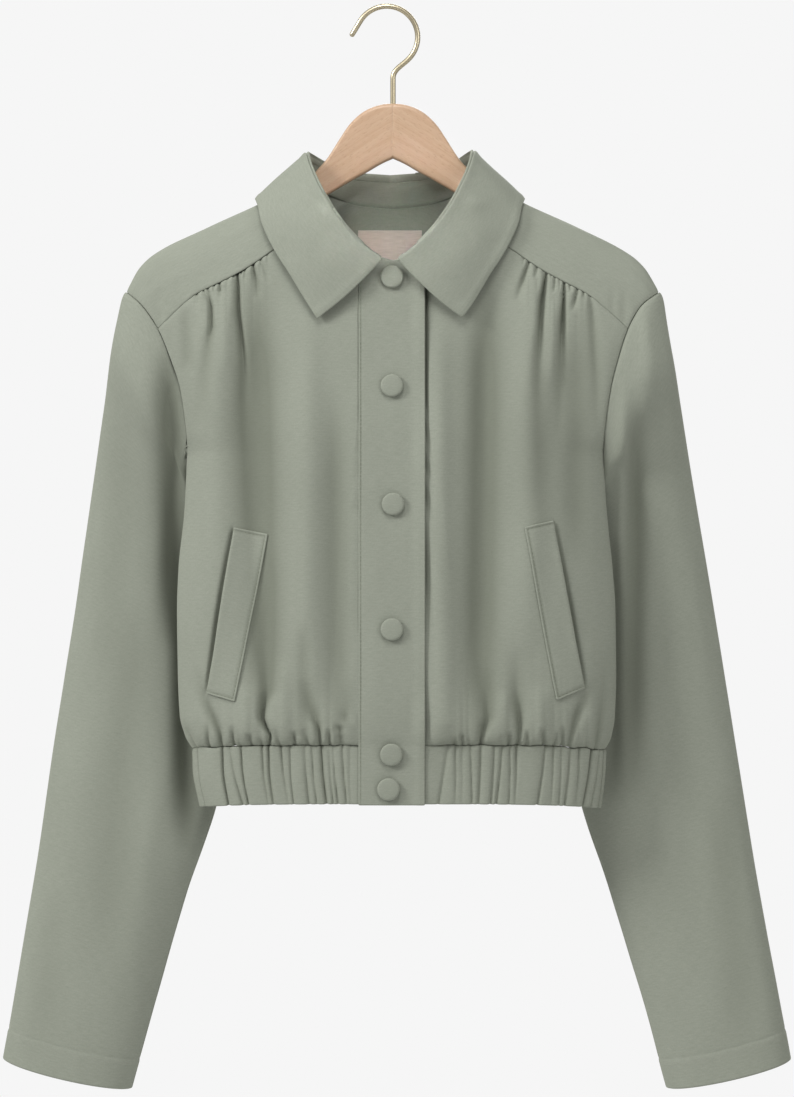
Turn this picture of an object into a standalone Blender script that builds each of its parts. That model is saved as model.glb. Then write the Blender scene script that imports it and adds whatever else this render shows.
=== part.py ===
"""Cropped blouson jacket hanging on a two-piece wooden hanger, each piece at its real size.

The origin is the inner top of the hanger's hook, where a rail carries it; +Z is up and the jacket's
front faces -Y. Tables and sizes are in millimetres and become metres in mesh_object. In them a "drop"
is a height measured down from the origin, a "reach" is a distance sideways from the jacket's centre
line, and a "turn" runs round one flank of the jacket: 0 at centre front, 0.5 at the side edge and 1 at
centre back. A "flank" is -1 on the -X side and +1 on the +X side.
"""

import math

import bmesh
import bpy
import numpy as np

MM = 0.001

# Driving dimensions
CENTRE_X = 4.0  # the jacket's centre line stands this far to +X of the hook's rest
NECK_X = CENTRE_X - 2.4  # centre of the collar
CLOTH = 1.6  # wall of a cloth piece
SEAM = 0.3  # gap between neighbouring pieces
HALF_SEAM = SEAM / 2
CURVED_SEAM = 0.25  # half the gap where two curved edges meet
SIDE_Y = -18.0  # the sides of the body stand forward, with the sleeves behind them
FRONT_POWER = 2.3  # roundness of the front in plan
SHOULDER_FADE = 60.0  # how far down the shoulders round over to the full depth
RIDGE_FORWARD = 14.0  # the hanger's arms curve this far to the front ...
RIDGE_REACH = 190.0  # ... at this reach
YOKE_BACK_DROP = 262.0
UNDERARM_DROP = 368.0
UNDERARM_TURN = 0.60  # the side seams lie behind the side edges
BAND_TOP_DROP = 591.0
BAND_BOTTOM_DROP = 637.0
PLACKET_HALF = 26.6
PLACKET_WALL = 1.9
WELT_WALL = 1.8
WELT_LIFT = 0.8  # clears the folds' facets under it
BUTTON_RADIUS = 9.0
BUTTON_RISE = 4.4
LABEL_WALL = 0.8
HOOK_WIRE = 2.0  # radius of the wire
HOOK_RADIUS = 24.8  # centre line of the round part
BORE_RADIUS = HOOK_WIRE + SEAM
HOOK_CENTRE_X = -1.0
STEM_TOP_DROP = 54.0
STEM_END_DROP = 100.0
HANGER_END = 192.0
ARMHOLE_DROPS = (257, 282, 305, 326, 343, 355, 363)  # rows of a front panel, at its outer edge ...
SIDE_DROPS = np.linspace(UNDERARM_DROP, BAND_TOP_DROP - SEAM, 12)  # ... and down the side seam
FRONT_ROWS = (np.append(ARMHOLE_DROPS, SIDE_DROPS) - ARMHOLE_DROPS[0]) / (SIDE_DROPS[-1] - ARMHOLE_DROPS[0])
BACK_ARMHOLE_DROPS = (YOKE_BACK_DROP, 290, 315, 336, 352, 362)
BACK_ROWS = np.append(BACK_ARMHOLE_DROPS, SIDE_DROPS)
BACK_ROWS = (BACK_ROWS - BACK_ROWS[0]) / (BACK_ROWS[-1] - BACK_ROWS[0])


class Table:
    """Rows of named columns. `at` reads a column smoothly, with no overshoot, by the first column."""

    def __init__(self, columns, *rows):
        self.columns = columns.split()
        self.values = np.array(rows, float)

    def at(self, key, column):
        keys = self.values[:, 0]
        column = self.values[:, self.columns.index(column)]
        steps = np.diff(keys)
        slopes = np.diff(column) / steps
        before, after = slopes[:-1], slopes[1:]
        bent = before * after > 0
        total = np.where(bent, before + after, 1.0)
        tangents = np.concatenate([slopes[:1], np.where(bent, 2 * before * after / total, 0.0), slopes[-1:]])
        key = np.asarray(key, float)
        row = np.clip(np.searchsorted(keys, key) - 1, 0, len(steps) - 1)
        t = np.clip((key - keys[row]) / steps[row], 0.0, 1.0)
        step = steps[row]
        return (
            (2 * t**3 - 3 * t**2 + 1) * column[row]
            + (t**3 - 2 * t**2 + t) * step * tangents[row]
            + (3 * t**2 - 2 * t**3) * column[row + 1]
            + (t**3 - t**2) * step * tangents[row + 1]
        )


# The body. Above the underarm the widths run on into the sleeve heads, and the armhole cuts them off.
BODY = Table(
    "drop left right front back tuck",
    (100, 240, 240, 44, 42, 2.2),
    (228, 232, 232, 49, 45, 2.2),
    (262, 221, 221, 51, 46, 2.2),
    (300, 200, 201, 53, 46, 2.0),
    (340, 175, 178, 56, 46, 1.6),
    (359, 165.5, 169, 57, 46, 1.5),
    (400, 167, 171, 58, 46, 1.4),
    (450, 171.5, 176, 60, 47, 1.4),
    (480, 172.8, 178, 61, 48, 1.4),
    (530, 172, 178.5, 62, 50, 1.4),
    (564, 170, 177, 61.5, 50, 1.4),
    (580, 165.5, 174, 60.4, 48, 1.4),
    (591, 160.8, 170, 59, 45, 1.5),
    (609, 160, 169, 58, 44, 1.5),
    (639, 154.4, 165.4, 57.5, 45, 1.5),
)

# The top line of the shoulders, over the hanger.
SHOULDER = Table(
    "reach drop",
    (0, 112),
    (15, 113.5),
    (40, 122.5),
    (74, 139.5),
    (108, 157.2),
    (150, 176.3),
    (189.6, 197.4),
    (201.6, 208),
    (213.4, 227),
)

# The armhole's seam, seen from the front and, for the last column, from the back.
ARMHOLE = Table(
    "drop left right back",
    (227, 213.3, 213.3, 213.3),
    (238, 200.5, 199, 205),
    (257, 188, 188, 193),
    (280, 178.6, 180.4, 183),
    (305, 170.6, 174.2, 175),
    (338, 166, 169.8, 165),
    (352, 165, 168.6, 160),
)

# The neckline and then the front yoke seam, along the top of the fronts.
FRONT_TOP = Table(
    "reach drop",
    (0, 206),
    (28, 196.5),
    (46, 183),
    (56, 172.5),
    (60, 174.4),
    (92, 192),
    (120, 210.4),
    (137, 219.6),
    (156, 229.6),
    (169, 240),
    (188, 257),
)
YOKE_NECK_REACH = 56.0  # the yoke's inner corner, low on the front of the neck ...
YOKE_RIDGE_REACH = 76.0  # ... and where the neck crosses the top of the shoulder
YOKE_BACK_REACH = 64.4  # the back yoke's seam below that

BACK_NECK = Table("reach drop", (0, 160), (27, 157.5), (50, 150.5), (76, 140.5))

# The collar: its seam to the neck, its roll at the top and the fall's outer edge. Station 0 is at the
# front end, COLLAR_SHOULDER over the shoulder and 1 at centre back.
COLLAR_SHOULDER = 0.56
COLLAR_BULGE = 4.0  # how far the fall rounds out between its roll and its edge
COLLAR = Table(
    "station neck_reach neck_drop roll_reach roll_y roll_drop edge_reach edge_y edge_drop",
    (0.00, 5, 205, 6.5, -53, 201, 56, -53, 248),
    (0.12, 28, 196.5, 25.5, -54, 186, 67, -50, 234),
    (0.25, 46, 183, 43.5, -49, 165, 80, -46, 213),
    (0.38, 59, 166, 56, -39, 144, 92, -41, 194),
    (0.48, 69, 152, 64, -25, 126, 102.5, -31, 171),
    (0.52, 73.5, 145, 66.5, -16, 120, 105.5, -19.8, 158),
    (0.56, 76, 140.5, 67.5, -6, 117, 108, -6, 152),
    (0.64, 68, 144, 64.5, 12, 118, 104, 15, 158.5),
    (0.75, 50, 150.5, 52, 29, 123.5, 86, 31, 173),
    (0.87, 27, 157.5, 30, 39, 130, 49, 42, 182),
    (1.00, 0, 160, 0, 43, 132.4, 0, 46, 186),
)

# The sleeves hang behind the sides of the body. Each row is one ring: its outer and inner points, the
# y of its middle, half its depth and how far its front hangs below the straight line between them.
SLEEVE = Table(
    "ring outer_left outer_right outer_drop inner_left inner_right inner_drop middle half_depth sag",
    (1, 223.5, 222, 265, 168, 172, 380, -4, 31, 4),
    (2, 231, 231, 318, 157, 161, 404, 11, 28, 0),
    (3, 240, 240.5, 378, 143, 147, 438, 22, 26, 0),
    (4, 251, 252.5, 450, 135, 139, 488, 28, 25, 0),
    (5, 262.5, 264.5, 525, 135, 140, 556, 29, 25, 0),
    (6, 274, 277, 600, 140, 149, 630, 27, 25, 0),
    (7, 286, 290, 683, 166, 175.5, 711, 25, 25, 1),
    (8, 299, 304.5, 762, 188.5, 199, 788, 22, 24, 3),
    (9, 312, 318.4, 841.5, 210, 220, 864, 20, 24, 6),
)
SLEEVE_SEAM_POINT = 11  # the point of the first ring, counted over the front, where the seam starts
SLEEVE_ROWS = (0, 0.12, 0.35, 0.8, 1.4, 2.2, 3.2, 4.6, 6, 7.5, 9)
YOKE_ROWS = 7  # rows of points from the top of the shoulder to a seam of the yoke

# The largest folds, on the front (side -1) and the back (side 1). A height below zero is a trough.
FOLDS = Table(
    "side reach_top drop_top reach_end drop_end half_width height",
    (-1, -124, 214, -121, 330, 4.5, -3.0),
    (-1, -116, 214, -112, 350, 7, 2.2),
    (-1, -147, 226, -143, 262, 4.5, -2.4),
    (-1, -86, 330, -89, 586, 13, 4.0),
    (-1, -98, 440, -98, 590, 9, -4.5),
    (-1, 120, 214, 113, 330, 4.5, -3.0),
    (-1, 111, 214, 104, 350, 7, 2.2),
    (-1, 137, 222, 134, 270, 4.5, -2.4),
    (-1, 83, 330, 85, 586, 13, 4.0),
    (-1, 60, 380, 55, 580, 10, -4.5),
    (-1, -150, 480, -146, 590, 10, -3.0),
    (-1, 140, 460, 146, 590, 10, -3.0),
    (1, -70, 266, -66, 586, 12, 3.5),
    (1, -30, 300, -36, 588, 10, -3.5),
    (1, 40, 280, 44, 588, 12, 3.0),
    (1, 76, 320, 74, 588, 10, -3.5),
)

# Corners of the welts on the fronts, as reach and drop: top outer, top inner, end inner, end outer.
WELTS = {
    "pocket_welt_left": ((-127, 416), (-101, 421), (-125.5, 554.5), (-148.5, 548)),
    "pocket_welt_right": ((128, 410.5), (104, 416), (129.5, 553.5), (152.5, 544)),
}

BUTTONS = Table(
    "number reach drop",
    (1, -0.8, 216),
    (2, -0.8, 303),
    (3, 0.0, 397.5),
    (4, -0.8, 497.5),
    (5, -1.3, 597),
    (6, -3.6, 625),
)

LABEL_REACH = (-28.0, 23.0)
LABEL_DROP = (177.0, 204.0)

# The hanger's arm from the mitre outwards. Under the jacket its top follows the shoulders instead.
ARM = Table(
    "reach top end half_thickness",
    (0, 77.6, 120.3, 7.0),
    (12, 78.6, 126, 7.0),
    (24, 84.8, 133, 7.2),
    (34.6, 95.2, 139, 7.4),
    (43.4, 108.8, 144, 7.6),
    (53.8, 122, 150.4, 8.0),
    (62, 130.8, 155.5, 8.0),
    (68, 142, 159, 7.9),
    (74, 150.8, 162.5, 7.8),
    (80, 152.4, 165.5, 8.1),
    (111, 162.8, 182.5, 8.3),
    (150, 181, 201, 8.2),
    (HANGER_END, 205, 219, 8.0),
)


def clear_scene():
    for obj in list(bpy.data.objects):
        bpy.data.objects.remove(obj, do_unlink=True)


def material(name, colour, roughness, metallic=0.0):
    """A plain Principled material of one colour."""
    made = bpy.data.materials.new(name)
    made.use_nodes = True
    shader = made.node_tree.nodes["Principled BSDF"]
    shader.inputs["Base Color"].default_value = (*colour, 1.0)
    shader.inputs["Roughness"].default_value = roughness
    shader.inputs["Metallic"].default_value = metallic
    return made


def mesh_object(name, points, faces, finish, smooth=True):
    """An object from points in millimetres, its faces turned outwards."""
    mesh = bmesh.new()
    corners = [mesh.verts.new(np.asarray(point) * MM) for point in points]
    for face in faces:
        mesh.faces.new([corners[index] for index in face])
    bmesh.ops.recalc_face_normals(mesh, faces=mesh.faces)
    data = bpy.data.meshes.new(name)
    mesh.to_mesh(data)
    mesh.free()
    data.materials.append(finish)
    if smooth:
        data.shade_smooth()
        data.set_sharp_from_angle(angle=math.radians(40))
    obj = bpy.data.objects.new(name, data)
    bpy.context.collection.objects.link(obj)
    return obj


def wall(name, outer, normals, thickness, finish, active=None):
    """A closed wall with its outer face through a grid of points and its thickness laid inwards."""
    rows, columns = outer.shape[:2]
    inner = outer - normals * thickness
    used = {}
    points = []

    def corner(row, column, layer):
        key = (row, column, layer)
        if key not in used:
            used[key] = len(points)
            points.append((outer, inner)[layer][row, column])
        return used[key]

    faces = []
    edges = {}
    for row in range(rows - 1):
        for column in range(columns - 1):
            if active is not None and not active[row, column]:
                continue
            ring = ((row, column), (row + 1, column), (row + 1, column + 1), (row, column + 1))
            faces.append([corner(*spot, 0) for spot in ring])
            faces.append([corner(*spot, 1) for spot in reversed(ring)])
            for start, end in zip(ring, ring[1:] + ring[:1]):
                edges.setdefault(frozenset((start, end)), []).append((start, end))
    for uses in edges.values():
        if len(uses) == 1:
            start, end = uses[0]
            faces.append([corner(*end, 0), corner(*start, 0), corner(*start, 1), corner(*end, 1)])
    return mesh_object(name, points, faces, finish)


# --- The form that every panel lies on -------------------------------------------------------------


def half_width(flank, drop):
    return np.where(flank < 0, BODY.at(drop, "left"), BODY.at(drop, "right"))


def fold_height(side, reach, drop):
    """How far the folds stand out of the form, by the signed reach and the drop."""
    total = np.zeros(np.broadcast(reach, drop).shape)
    for fold_side, reach_top, top, reach_end, end, half, height in FOLDS.values:
        along = np.clip((drop - top) / (end - top), 0.0, 1.0)
        line = reach_top + (reach_end - reach_top) * along
        inside = np.where((drop > top) & (drop < end), np.sin(math.pi * along) ** 0.6, 0.0)
        bump = height * np.exp(-(((reach - line) / half) ** 2)) * inside
        total = total + np.where(side == fold_side, bump, 0.0)
    return total


def form(flank, turn, drop):
    """Points of the jacket's outer form."""
    flank, turn, drop = np.broadcast_arrays(flank, turn, drop)
    angle = math.pi * turn
    front = turn <= 0.5
    power = np.where(front, FRONT_POWER, BODY.at(drop, "tuck"))
    reach = half_width(flank, drop) * np.sign(np.sin(angle)) * np.abs(np.sin(angle)) ** (2 / power)
    depth = np.abs(np.cos(angle)) ** (2 / power)
    y_front = SIDE_Y - (BODY.at(drop, "front") + SIDE_Y) * depth
    y_back = SIDE_Y + (BODY.at(drop, "back") - SIDE_Y) * depth
    full = np.where(front, y_front, y_back)
    ridge = -RIDGE_FORWARD * (reach / RIDGE_REACH) ** 2
    below = np.maximum(drop - SHOULDER.at(np.abs(reach), "drop"), 0.0)
    y = ridge + (full - ridge) * np.sqrt(1 - np.exp(-below / SHOULDER_FADE))
    fold = fold_height(np.where(front, -1, 1), flank * reach, drop)
    x = CENTRE_X + flank * (reach + fold * np.sin(angle) ** 3)
    y = y - fold * np.cos(angle)
    return np.stack([x, y, -drop], axis=-1)


def turn_at(flank, reach, drop, side):
    """The turn where the form has this reach; side is -1 on the front and 1 on the back."""
    power = np.where(np.asarray(side) < 0, FRONT_POWER, BODY.at(drop, "tuck"))
    share = np.clip(reach / half_width(flank, drop), 0.0, 1.0)
    turn = np.arcsin(share ** (power / 2)) / math.pi
    return np.where(np.asarray(side) < 0, turn, 1 - turn)


def over(x, rise):
    """Points of the form by the signed reach and the rise, which crosses the shoulder's top at 0.

    The rise is the root of the depth below the shoulder's top line, negative on the front, which
    keeps the form smooth where it rounds over the hanger.
    """
    x, rise = np.broadcast_arrays(x, rise)
    flank = np.where(x < 0, -1, 1)
    reach = np.abs(x)
    drop = SHOULDER.at(reach, "drop") + rise**2
    side = np.where(rise < 0, -1, 1)
    return form(flank, turn_at(flank, reach, drop, side), drop)


def across(function, u, v, du, dv, turned=1.0):
    """Unit normals of a surface function of two parameters, from steps of du and dv."""
    along_u = function(u + du, v) - function(u - du, v)
    along_v = function(u, v + dv) - function(u, v - dv)
    normal = np.cross(along_u, along_v) * turned
    return normal / np.maximum(np.linalg.norm(normal, axis=-1, keepdims=True), 1e-12)


def form_normals(flank, turn, drop):
    flank, turn, drop = np.broadcast_arrays(flank, turn, drop)
    normal = across(lambda t, d: form(flank, t, d), turn, drop, 0.002, 0.5)
    return normal * -flank[..., None]


def over_normals(x, rise):
    return across(over, x, rise, 0.5, 0.05)


def nudge(flank, turn, drop, distance):
    """The turn moved by a distance along the form."""
    step = 0.002
    run = np.linalg.norm(form(flank, turn + step, drop) - form(flank, turn - step, drop), axis=-1)
    return turn + distance * 2 * step / run


def armhole_turn(flank, drop, side):
    """The turn of the armhole's seam, which rounds under the arm to the side seam."""
    if side < 0:
        reach = np.where(flank < 0, ARMHOLE.at(drop, "left"), ARMHOLE.at(drop, "right"))
    else:
        reach = ARMHOLE.at(drop, "back")
    last = ARMHOLE.values[-1, 0]
    seam = turn_at(flank, reach, np.minimum(drop, last), side)
    share = np.clip((drop - last) / (UNDERARM_DROP - last), 0.0, 1.0)
    return seam + (UNDERARM_TURN - seam) * share**1.5


def fill_panel(flank, side, top, rows, columns):
    """Turns and drops of a panel, from its top edge down to the band.

    `top` gives the turns and drops along the top edge for the columns. Each row's points stand at shares
    of the way from the centre line to the armhole or side seam at their own drop, so none crosses it.
    """

    def seam(drop):
        turn = armhole_turn(flank, drop, side)
        return np.where(drop > UNDERARM_DROP - SEAM, nudge(flank, turn, drop, side * CURVED_SEAM), turn)

    middle = 0.0 if side < 0 else 1.0
    top_turn, top_drop = top
    end_drop = BAND_TOP_DROP - HALF_SEAM
    drop = top_drop + rows[:, None] * (end_drop - top_drop)
    top_share = (top_turn - middle) / (seam(top_drop) - middle)
    first = (top_turn[0] - middle) / (seam(np.array(end_drop)) - middle)
    end_share = first + (1 - first) * columns
    share = top_share + rows[:, None] * (end_share - top_share)
    return middle + share * (seam(drop) - middle), drop


# --- Body panels -----------------------------------------------------------------------------------


def build_front(name, flank, finish):
    """A front from the centre to the side seam; its top follows the neckline and the yoke seam."""
    end_reach = FRONT_TOP.values[-1, 0]
    neck = (YOKE_NECK_REACH - HALF_SEAM) / (end_reach - HALF_SEAM)
    columns = np.append(np.linspace(0, neck, 7)[:-1], np.linspace(neck, 1, 14))
    reach = HALF_SEAM + columns * (end_reach - HALF_SEAM)
    top_drop = FRONT_TOP.at(reach, "drop") + CURVED_SEAM
    top = turn_at(flank, reach, top_drop, -1), top_drop
    turn, drop = fill_panel(flank, -1, top, FRONT_ROWS, columns)
    return wall(name, form(flank, turn, drop), form_normals(flank, turn, drop), CLOTH, finish)


def build_back(finish):
    """The back, from side seam to side seam under the back yoke."""
    columns = np.linspace(0, 1, 11)
    top_drop = YOKE_BACK_DROP + HALF_SEAM + 0 * columns
    halves = []
    for flank in (-1, 1):
        top = 1 + columns * (armhole_turn(flank, top_drop, 1) - 1), top_drop
        turn, drop = fill_panel(flank, 1, top, BACK_ROWS, columns)
        halves.append((form(flank, turn, drop), form_normals(flank, turn, drop)))
    left, right = halves
    points = np.concatenate([left[0][:, ::-1], right[0][:, 1:]], axis=1)
    normals = np.concatenate([left[1][:, ::-1], right[1][:, 1:]], axis=1)
    return wall("back", points, normals, CLOTH, finish)


def build_yoke(finish):
    """The yoke: two tongues on the fronts, over the shoulders, joined across the back."""
    tongue = np.linspace(0, 1, 9)
    middle = np.linspace(-1, 1, 9)[1:-1]
    steps = np.linspace(0, 1, YOKE_ROWS)
    front_rows = steps[:0:-1]
    columns = []
    for flank, shares in ((-1, tongue[::-1]), (0, middle), (1, tongue)):
        columns += [(flank, share) for share in shares]
    rows = [(-1, b) for b in front_rows] + [(1, b) for b in steps]
    x = np.zeros((len(rows), len(columns)))
    rise = np.zeros_like(x)
    for j, (flank, share) in enumerate(columns):
        for i, (side, b) in enumerate(rows):
            x[i, j], rise[i, j] = yoke_spot(flank, share, side, b)
    active = np.ones((len(rows) - 1, len(columns) - 1), bool)
    active[: len(front_rows), len(tongue) - 1 : len(columns) - len(tongue)] = False
    return wall("yoke", over(x, rise), over_normals(x, rise), CLOTH, finish, active)


def rise_at(reach, drop):
    """The rise, without its sign, of a point at this reach and drop."""
    return math.sqrt(max(drop - float(SHOULDER.at(reach, "drop")), 0.0))


def yoke_spot(flank, share, side, b):
    """Signed reach and rise of one point of the yoke.

    b runs from the ridge or the neck (0) to the seam (1), and share from the neck to the armhole. Flank 0
    is the middle of the back, where share runs from one side of the neck (-1) to the other (1).
    """
    blend = b * b
    if flank == 0:
        x = share * (YOKE_RIDGE_REACH + (YOKE_BACK_REACH - YOKE_RIDGE_REACH) * blend)
        drop_top = float(BACK_NECK.at(abs(share) * YOKE_RIDGE_REACH, "drop"))
        drop = drop_top + (YOKE_BACK_DROP - HALF_SEAM - drop_top) * blend
        return x, rise_at(abs(x), drop)
    tip_drop, tip_reach = ARMHOLE.values[0, :2]
    if side < 0:
        column = "left" if flank < 0 else "right"
        seam_reach, seam_drop = FRONT_TOP.values[-1]
        reach_end = YOKE_NECK_REACH + share * (seam_reach - YOKE_NECK_REACH)
        drop_end = float(FRONT_TOP.at(reach_end, "drop")) - CURVED_SEAM
    else:
        column = "back"
        seam_reach, seam_drop = float(ARMHOLE.at(YOKE_BACK_DROP, column)), YOKE_BACK_DROP
        reach_end = YOKE_BACK_REACH + share * (seam_reach - YOKE_BACK_REACH)
        drop_end = YOKE_BACK_DROP - HALF_SEAM
    reach_top = YOKE_RIDGE_REACH + share * (tip_reach - YOKE_RIDGE_REACH)
    drop_top = float(SHOULDER.at(reach_top, "drop"))
    reach = reach_top + (reach_end - reach_top) * blend
    drop = drop_top + (drop_end - drop_top) * blend
    # The outer edge follows the armhole's seam instead of the straight line to its end.
    armhole = float(ARMHOLE.at(tip_drop + (seam_drop - tip_drop) * blend, column))
    reach += share**4 * (armhole - tip_reach - (seam_reach - tip_reach) * blend)
    return flank * reach, side * rise_at(reach, drop)


def build_band(finish):
    """The waistband, round from one side of the centre front to the other."""
    around = np.linspace(-1, 1, 38)
    flank = np.where(around < 0, -1, 1)
    turn = 1 - np.abs(around)
    turn[0] = turn[-1] = turn_at(1, HALF_SEAM, BAND_TOP_DROP, -1)
    turn = np.broadcast_to(turn, (4, len(around)))
    drop = np.linspace(BAND_TOP_DROP + HALF_SEAM, BAND_BOTTOM_DROP, 4)[:, None]
    return wall("waistband", form(flank, turn, drop), form_normals(flank, turn, drop), CLOTH, finish)


# --- Sleeves ---------------------------------------------------------------------------------------


def armhole_seam(flank, side, drops):
    """Points of the armhole's seam and the form's normals there."""
    turn = armhole_turn(flank, drops, side)
    return form(flank, turn, drops), form_normals(flank, turn, drops)


def armhole_ring(flank):
    """The sleeve's first ring: angles, points just clear of the seam and the form's normals.

    Its points stand at the corners of the yoke's, the front's and the back's edges, so the facets of the
    pieces run side by side.
    """
    tip = ARMHOLE.values[0, 0]
    crown = tip + (ARMHOLE_DROPS[0] - tip) * np.linspace(0, 1, YOKE_ROWS) ** 2
    back_crown = tip + (YOKE_BACK_DROP - tip) * np.linspace(0, 1, YOKE_ROWS) ** 2
    front = np.concatenate([crown, ARMHOLE_DROPS[1:], [UNDERARM_DROP]])
    back = np.concatenate([back_crown, BACK_ARMHOLE_DROPS[1:]])
    front_points, front_normals = armhole_seam(flank, -1, front)
    back_points, back_normals = armhole_seam(flank, 1, back)
    points = np.concatenate([front_points, back_points[::-1]])
    normals = np.concatenate([front_normals, back_normals[::-1]])
    tangent = np.roll(points, -1, axis=0) - np.roll(points, 1, axis=0)
    aside = np.cross(normals, tangent) * flank
    points = points + aside / np.linalg.norm(aside, axis=-1, keepdims=True) * 2 * CURVED_SEAM
    run = np.concatenate([[0], np.cumsum(np.linalg.norm(np.diff(points, axis=0), axis=1))])
    half = run[len(front) - 1]
    angles = np.where(run <= half, run / half, 1 + (run - half) / (run[-1] - half)) * math.pi
    return angles, points, normals


def sleeve_ring(flank, ring, angles):
    """Points of one ring of the sleeve, round from its outer point over the front."""
    side = "left" if flank < 0 else "right"
    read = {name: float(SLEEVE.at(ring, name)) for name in SLEEVE.columns[1:]}
    outer = np.array([CENTRE_X + flank * read["outer_" + side], 0, -read["outer_drop"]])
    inner = np.array([CENTRE_X + flank * read["inner_" + side], 0, -read["inner_drop"]])
    across_ring = np.cos(angles)[:, None] * (outer - inner) / 2
    deep = -np.sin(angles) * read["half_depth"] + read["middle"]
    hang = -np.abs(np.sin(angles)) * read["sag"]
    ring_points = (outer + inner) / 2 + across_ring
    ring_points[:, 1] = deep
    ring_points[:, 2] += hang
    return ring_points


def sleeve_surface(flank, angles, first, along):
    """Points of the sleeve; along runs from 0 at the first ring to the number of the last ring."""
    rings = np.array([first] + [sleeve_ring(flank, row[0], angles) for row in SLEEVE.values])
    made = []
    for value in along:
        start = min(int(value), len(rings) - 2)
        t = value - start
        before = rings[max(start - 1, 0)]
        after = rings[min(start + 2, len(rings) - 1)]
        near, far = rings[start], rings[start + 1]
        slope_near = (far - before) / (2 if start else 1)
        slope_far = (after - near) / (2 if start + 2 < len(rings) else 1)
        made.append(
            (2 * t**3 - 3 * t**2 + 1) * near
            + (t**3 - 2 * t**2 + t) * slope_near
            + (3 * t**2 - 2 * t**3) * far
            + (t**3 - t**2) * slope_far
        )
    return np.array(made)


def build_sleeve(name, flank, finish):
    """A one-piece sleeve with its seam on the inner side of its front."""
    angles, first, seam_normals = armhole_ring(flank)
    points = sleeve_surface(flank, angles, first, SLEEVE_ROWS)
    down = np.gradient(points, axis=0)
    around = np.roll(points, -1, axis=1) - np.roll(points, 1, axis=1)
    normals = np.cross(around, down) * flank
    normals /= np.linalg.norm(normals, axis=-1, keepdims=True)
    # Along the seam the wall is square to the panels, but not under the arm, where the cloth folds back.
    agree = (normals[0] * seam_normals).sum(-1, keepdims=True)
    share = np.clip((agree - 0.2) / 0.5, 0.0, 1.0)
    normals[0] = share * seam_normals + (1 - share) * normals[0]
    normals[0] /= np.linalg.norm(normals[0], axis=-1, keepdims=True)
    opened = np.roll(np.arange(len(angles)), -SLEEVE_SEAM_POINT)
    points, normals = points[:, opened], normals[:, opened]
    cut = np.cross(normals[:, 0], down[:, SLEEVE_SEAM_POINT]) * flank
    cut *= HALF_SEAM / np.linalg.norm(cut, axis=-1, keepdims=True)
    points = np.concatenate([points, points[:, :1]], axis=1)
    normals = np.concatenate([normals, normals[:, :1]], axis=1)
    points[:, 0] -= cut
    points[:, -1] += cut
    return wall(name, points, normals, CLOTH, finish)


# --- Collar, placket, welts, label and buttons -----------------------------------------------------


def collar_line(kind, stations):
    """Points of one of the collar's lines, round from the -X front end to the +X front end."""
    flank = np.where(stations <= 1, -1, 1)
    station = np.where(stations <= 1, stations, 2 - stations)
    reach = COLLAR.at(station, kind + "_reach")
    drop = COLLAR.at(station, kind + "_drop")
    if kind != "neck":
        return np.stack([NECK_X + flank * reach, COLLAR.at(station, kind + "_y"), -drop], axis=-1)
    side = np.where(station <= COLLAR_SHOULDER, -1, 1)
    rise = side * np.sqrt(np.maximum(drop - SHOULDER.at(reach, "drop"), 0.0))
    return over(flank * reach, rise)


def grid_normals(points, outwards):
    """Unit normals of a grid of points, all on the side of `outwards`."""
    down = np.gradient(points, axis=0)
    along = np.gradient(points, axis=1)
    normal = np.cross(down, along)
    normal *= np.where((normal * outwards).sum(-1, keepdims=True) < 0, -1, 1)
    return normal / np.linalg.norm(normal, axis=-1, keepdims=True)


def build_collar_fall(finish):
    """The fall, from the roll down to its outer edge, clear of the panels that it lies over."""
    stations = np.linspace(0, 2, 33)
    roll, edge = collar_line("roll", stations), collar_line("edge", stations)
    rows = np.linspace(0, 1, 5)[:, None, None]
    points = roll + (edge - roll) * rows
    neck = np.array([NECK_X, 0, -COLLAR.at(COLLAR_SHOULDER, "edge_drop")])
    away = (points - neck) / np.linalg.norm(points - neck, axis=-1, keepdims=True)
    points = points + away * COLLAR_BULGE * np.sin(math.pi * rows)
    return wall("collar_fall", points, grid_normals(points, points - neck), CLOTH, finish)


def build_collar_stand(finish):
    """The stand, from the neck seam up to just inside the roll."""
    stations = np.linspace(0.06, 1.94, 25)
    neck_line, roll = collar_line("neck", stations), collar_line("roll", stations)
    centre = np.array([NECK_X, 0, 0])
    inwards = (centre - roll) * (1, 1, 0)
    inwards /= np.linalg.norm(inwards, axis=-1, keepdims=True)
    top = roll + inwards * 2.6 - np.array([0, 0, 2.0])
    bottom = neck_line + inwards * 0.2 + np.array([0, 0, 1.2])
    rows = np.linspace(0, 1, 3)[:, None, None]
    points = top + (bottom - top) * rows
    return wall("collar_stand", points, grid_normals(points, -inwards + 0 * points), CLOTH, finish)


def lay_on_front(x, drop, lift):
    """Points and normals on the fronts, moved out by a lift."""
    flank = np.where(x < 0, -1, 1)
    turn = turn_at(flank, np.abs(x), drop, -1)
    normals = form_normals(flank, turn, drop)
    return form(flank, turn, drop) + normals * lift, normals


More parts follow.
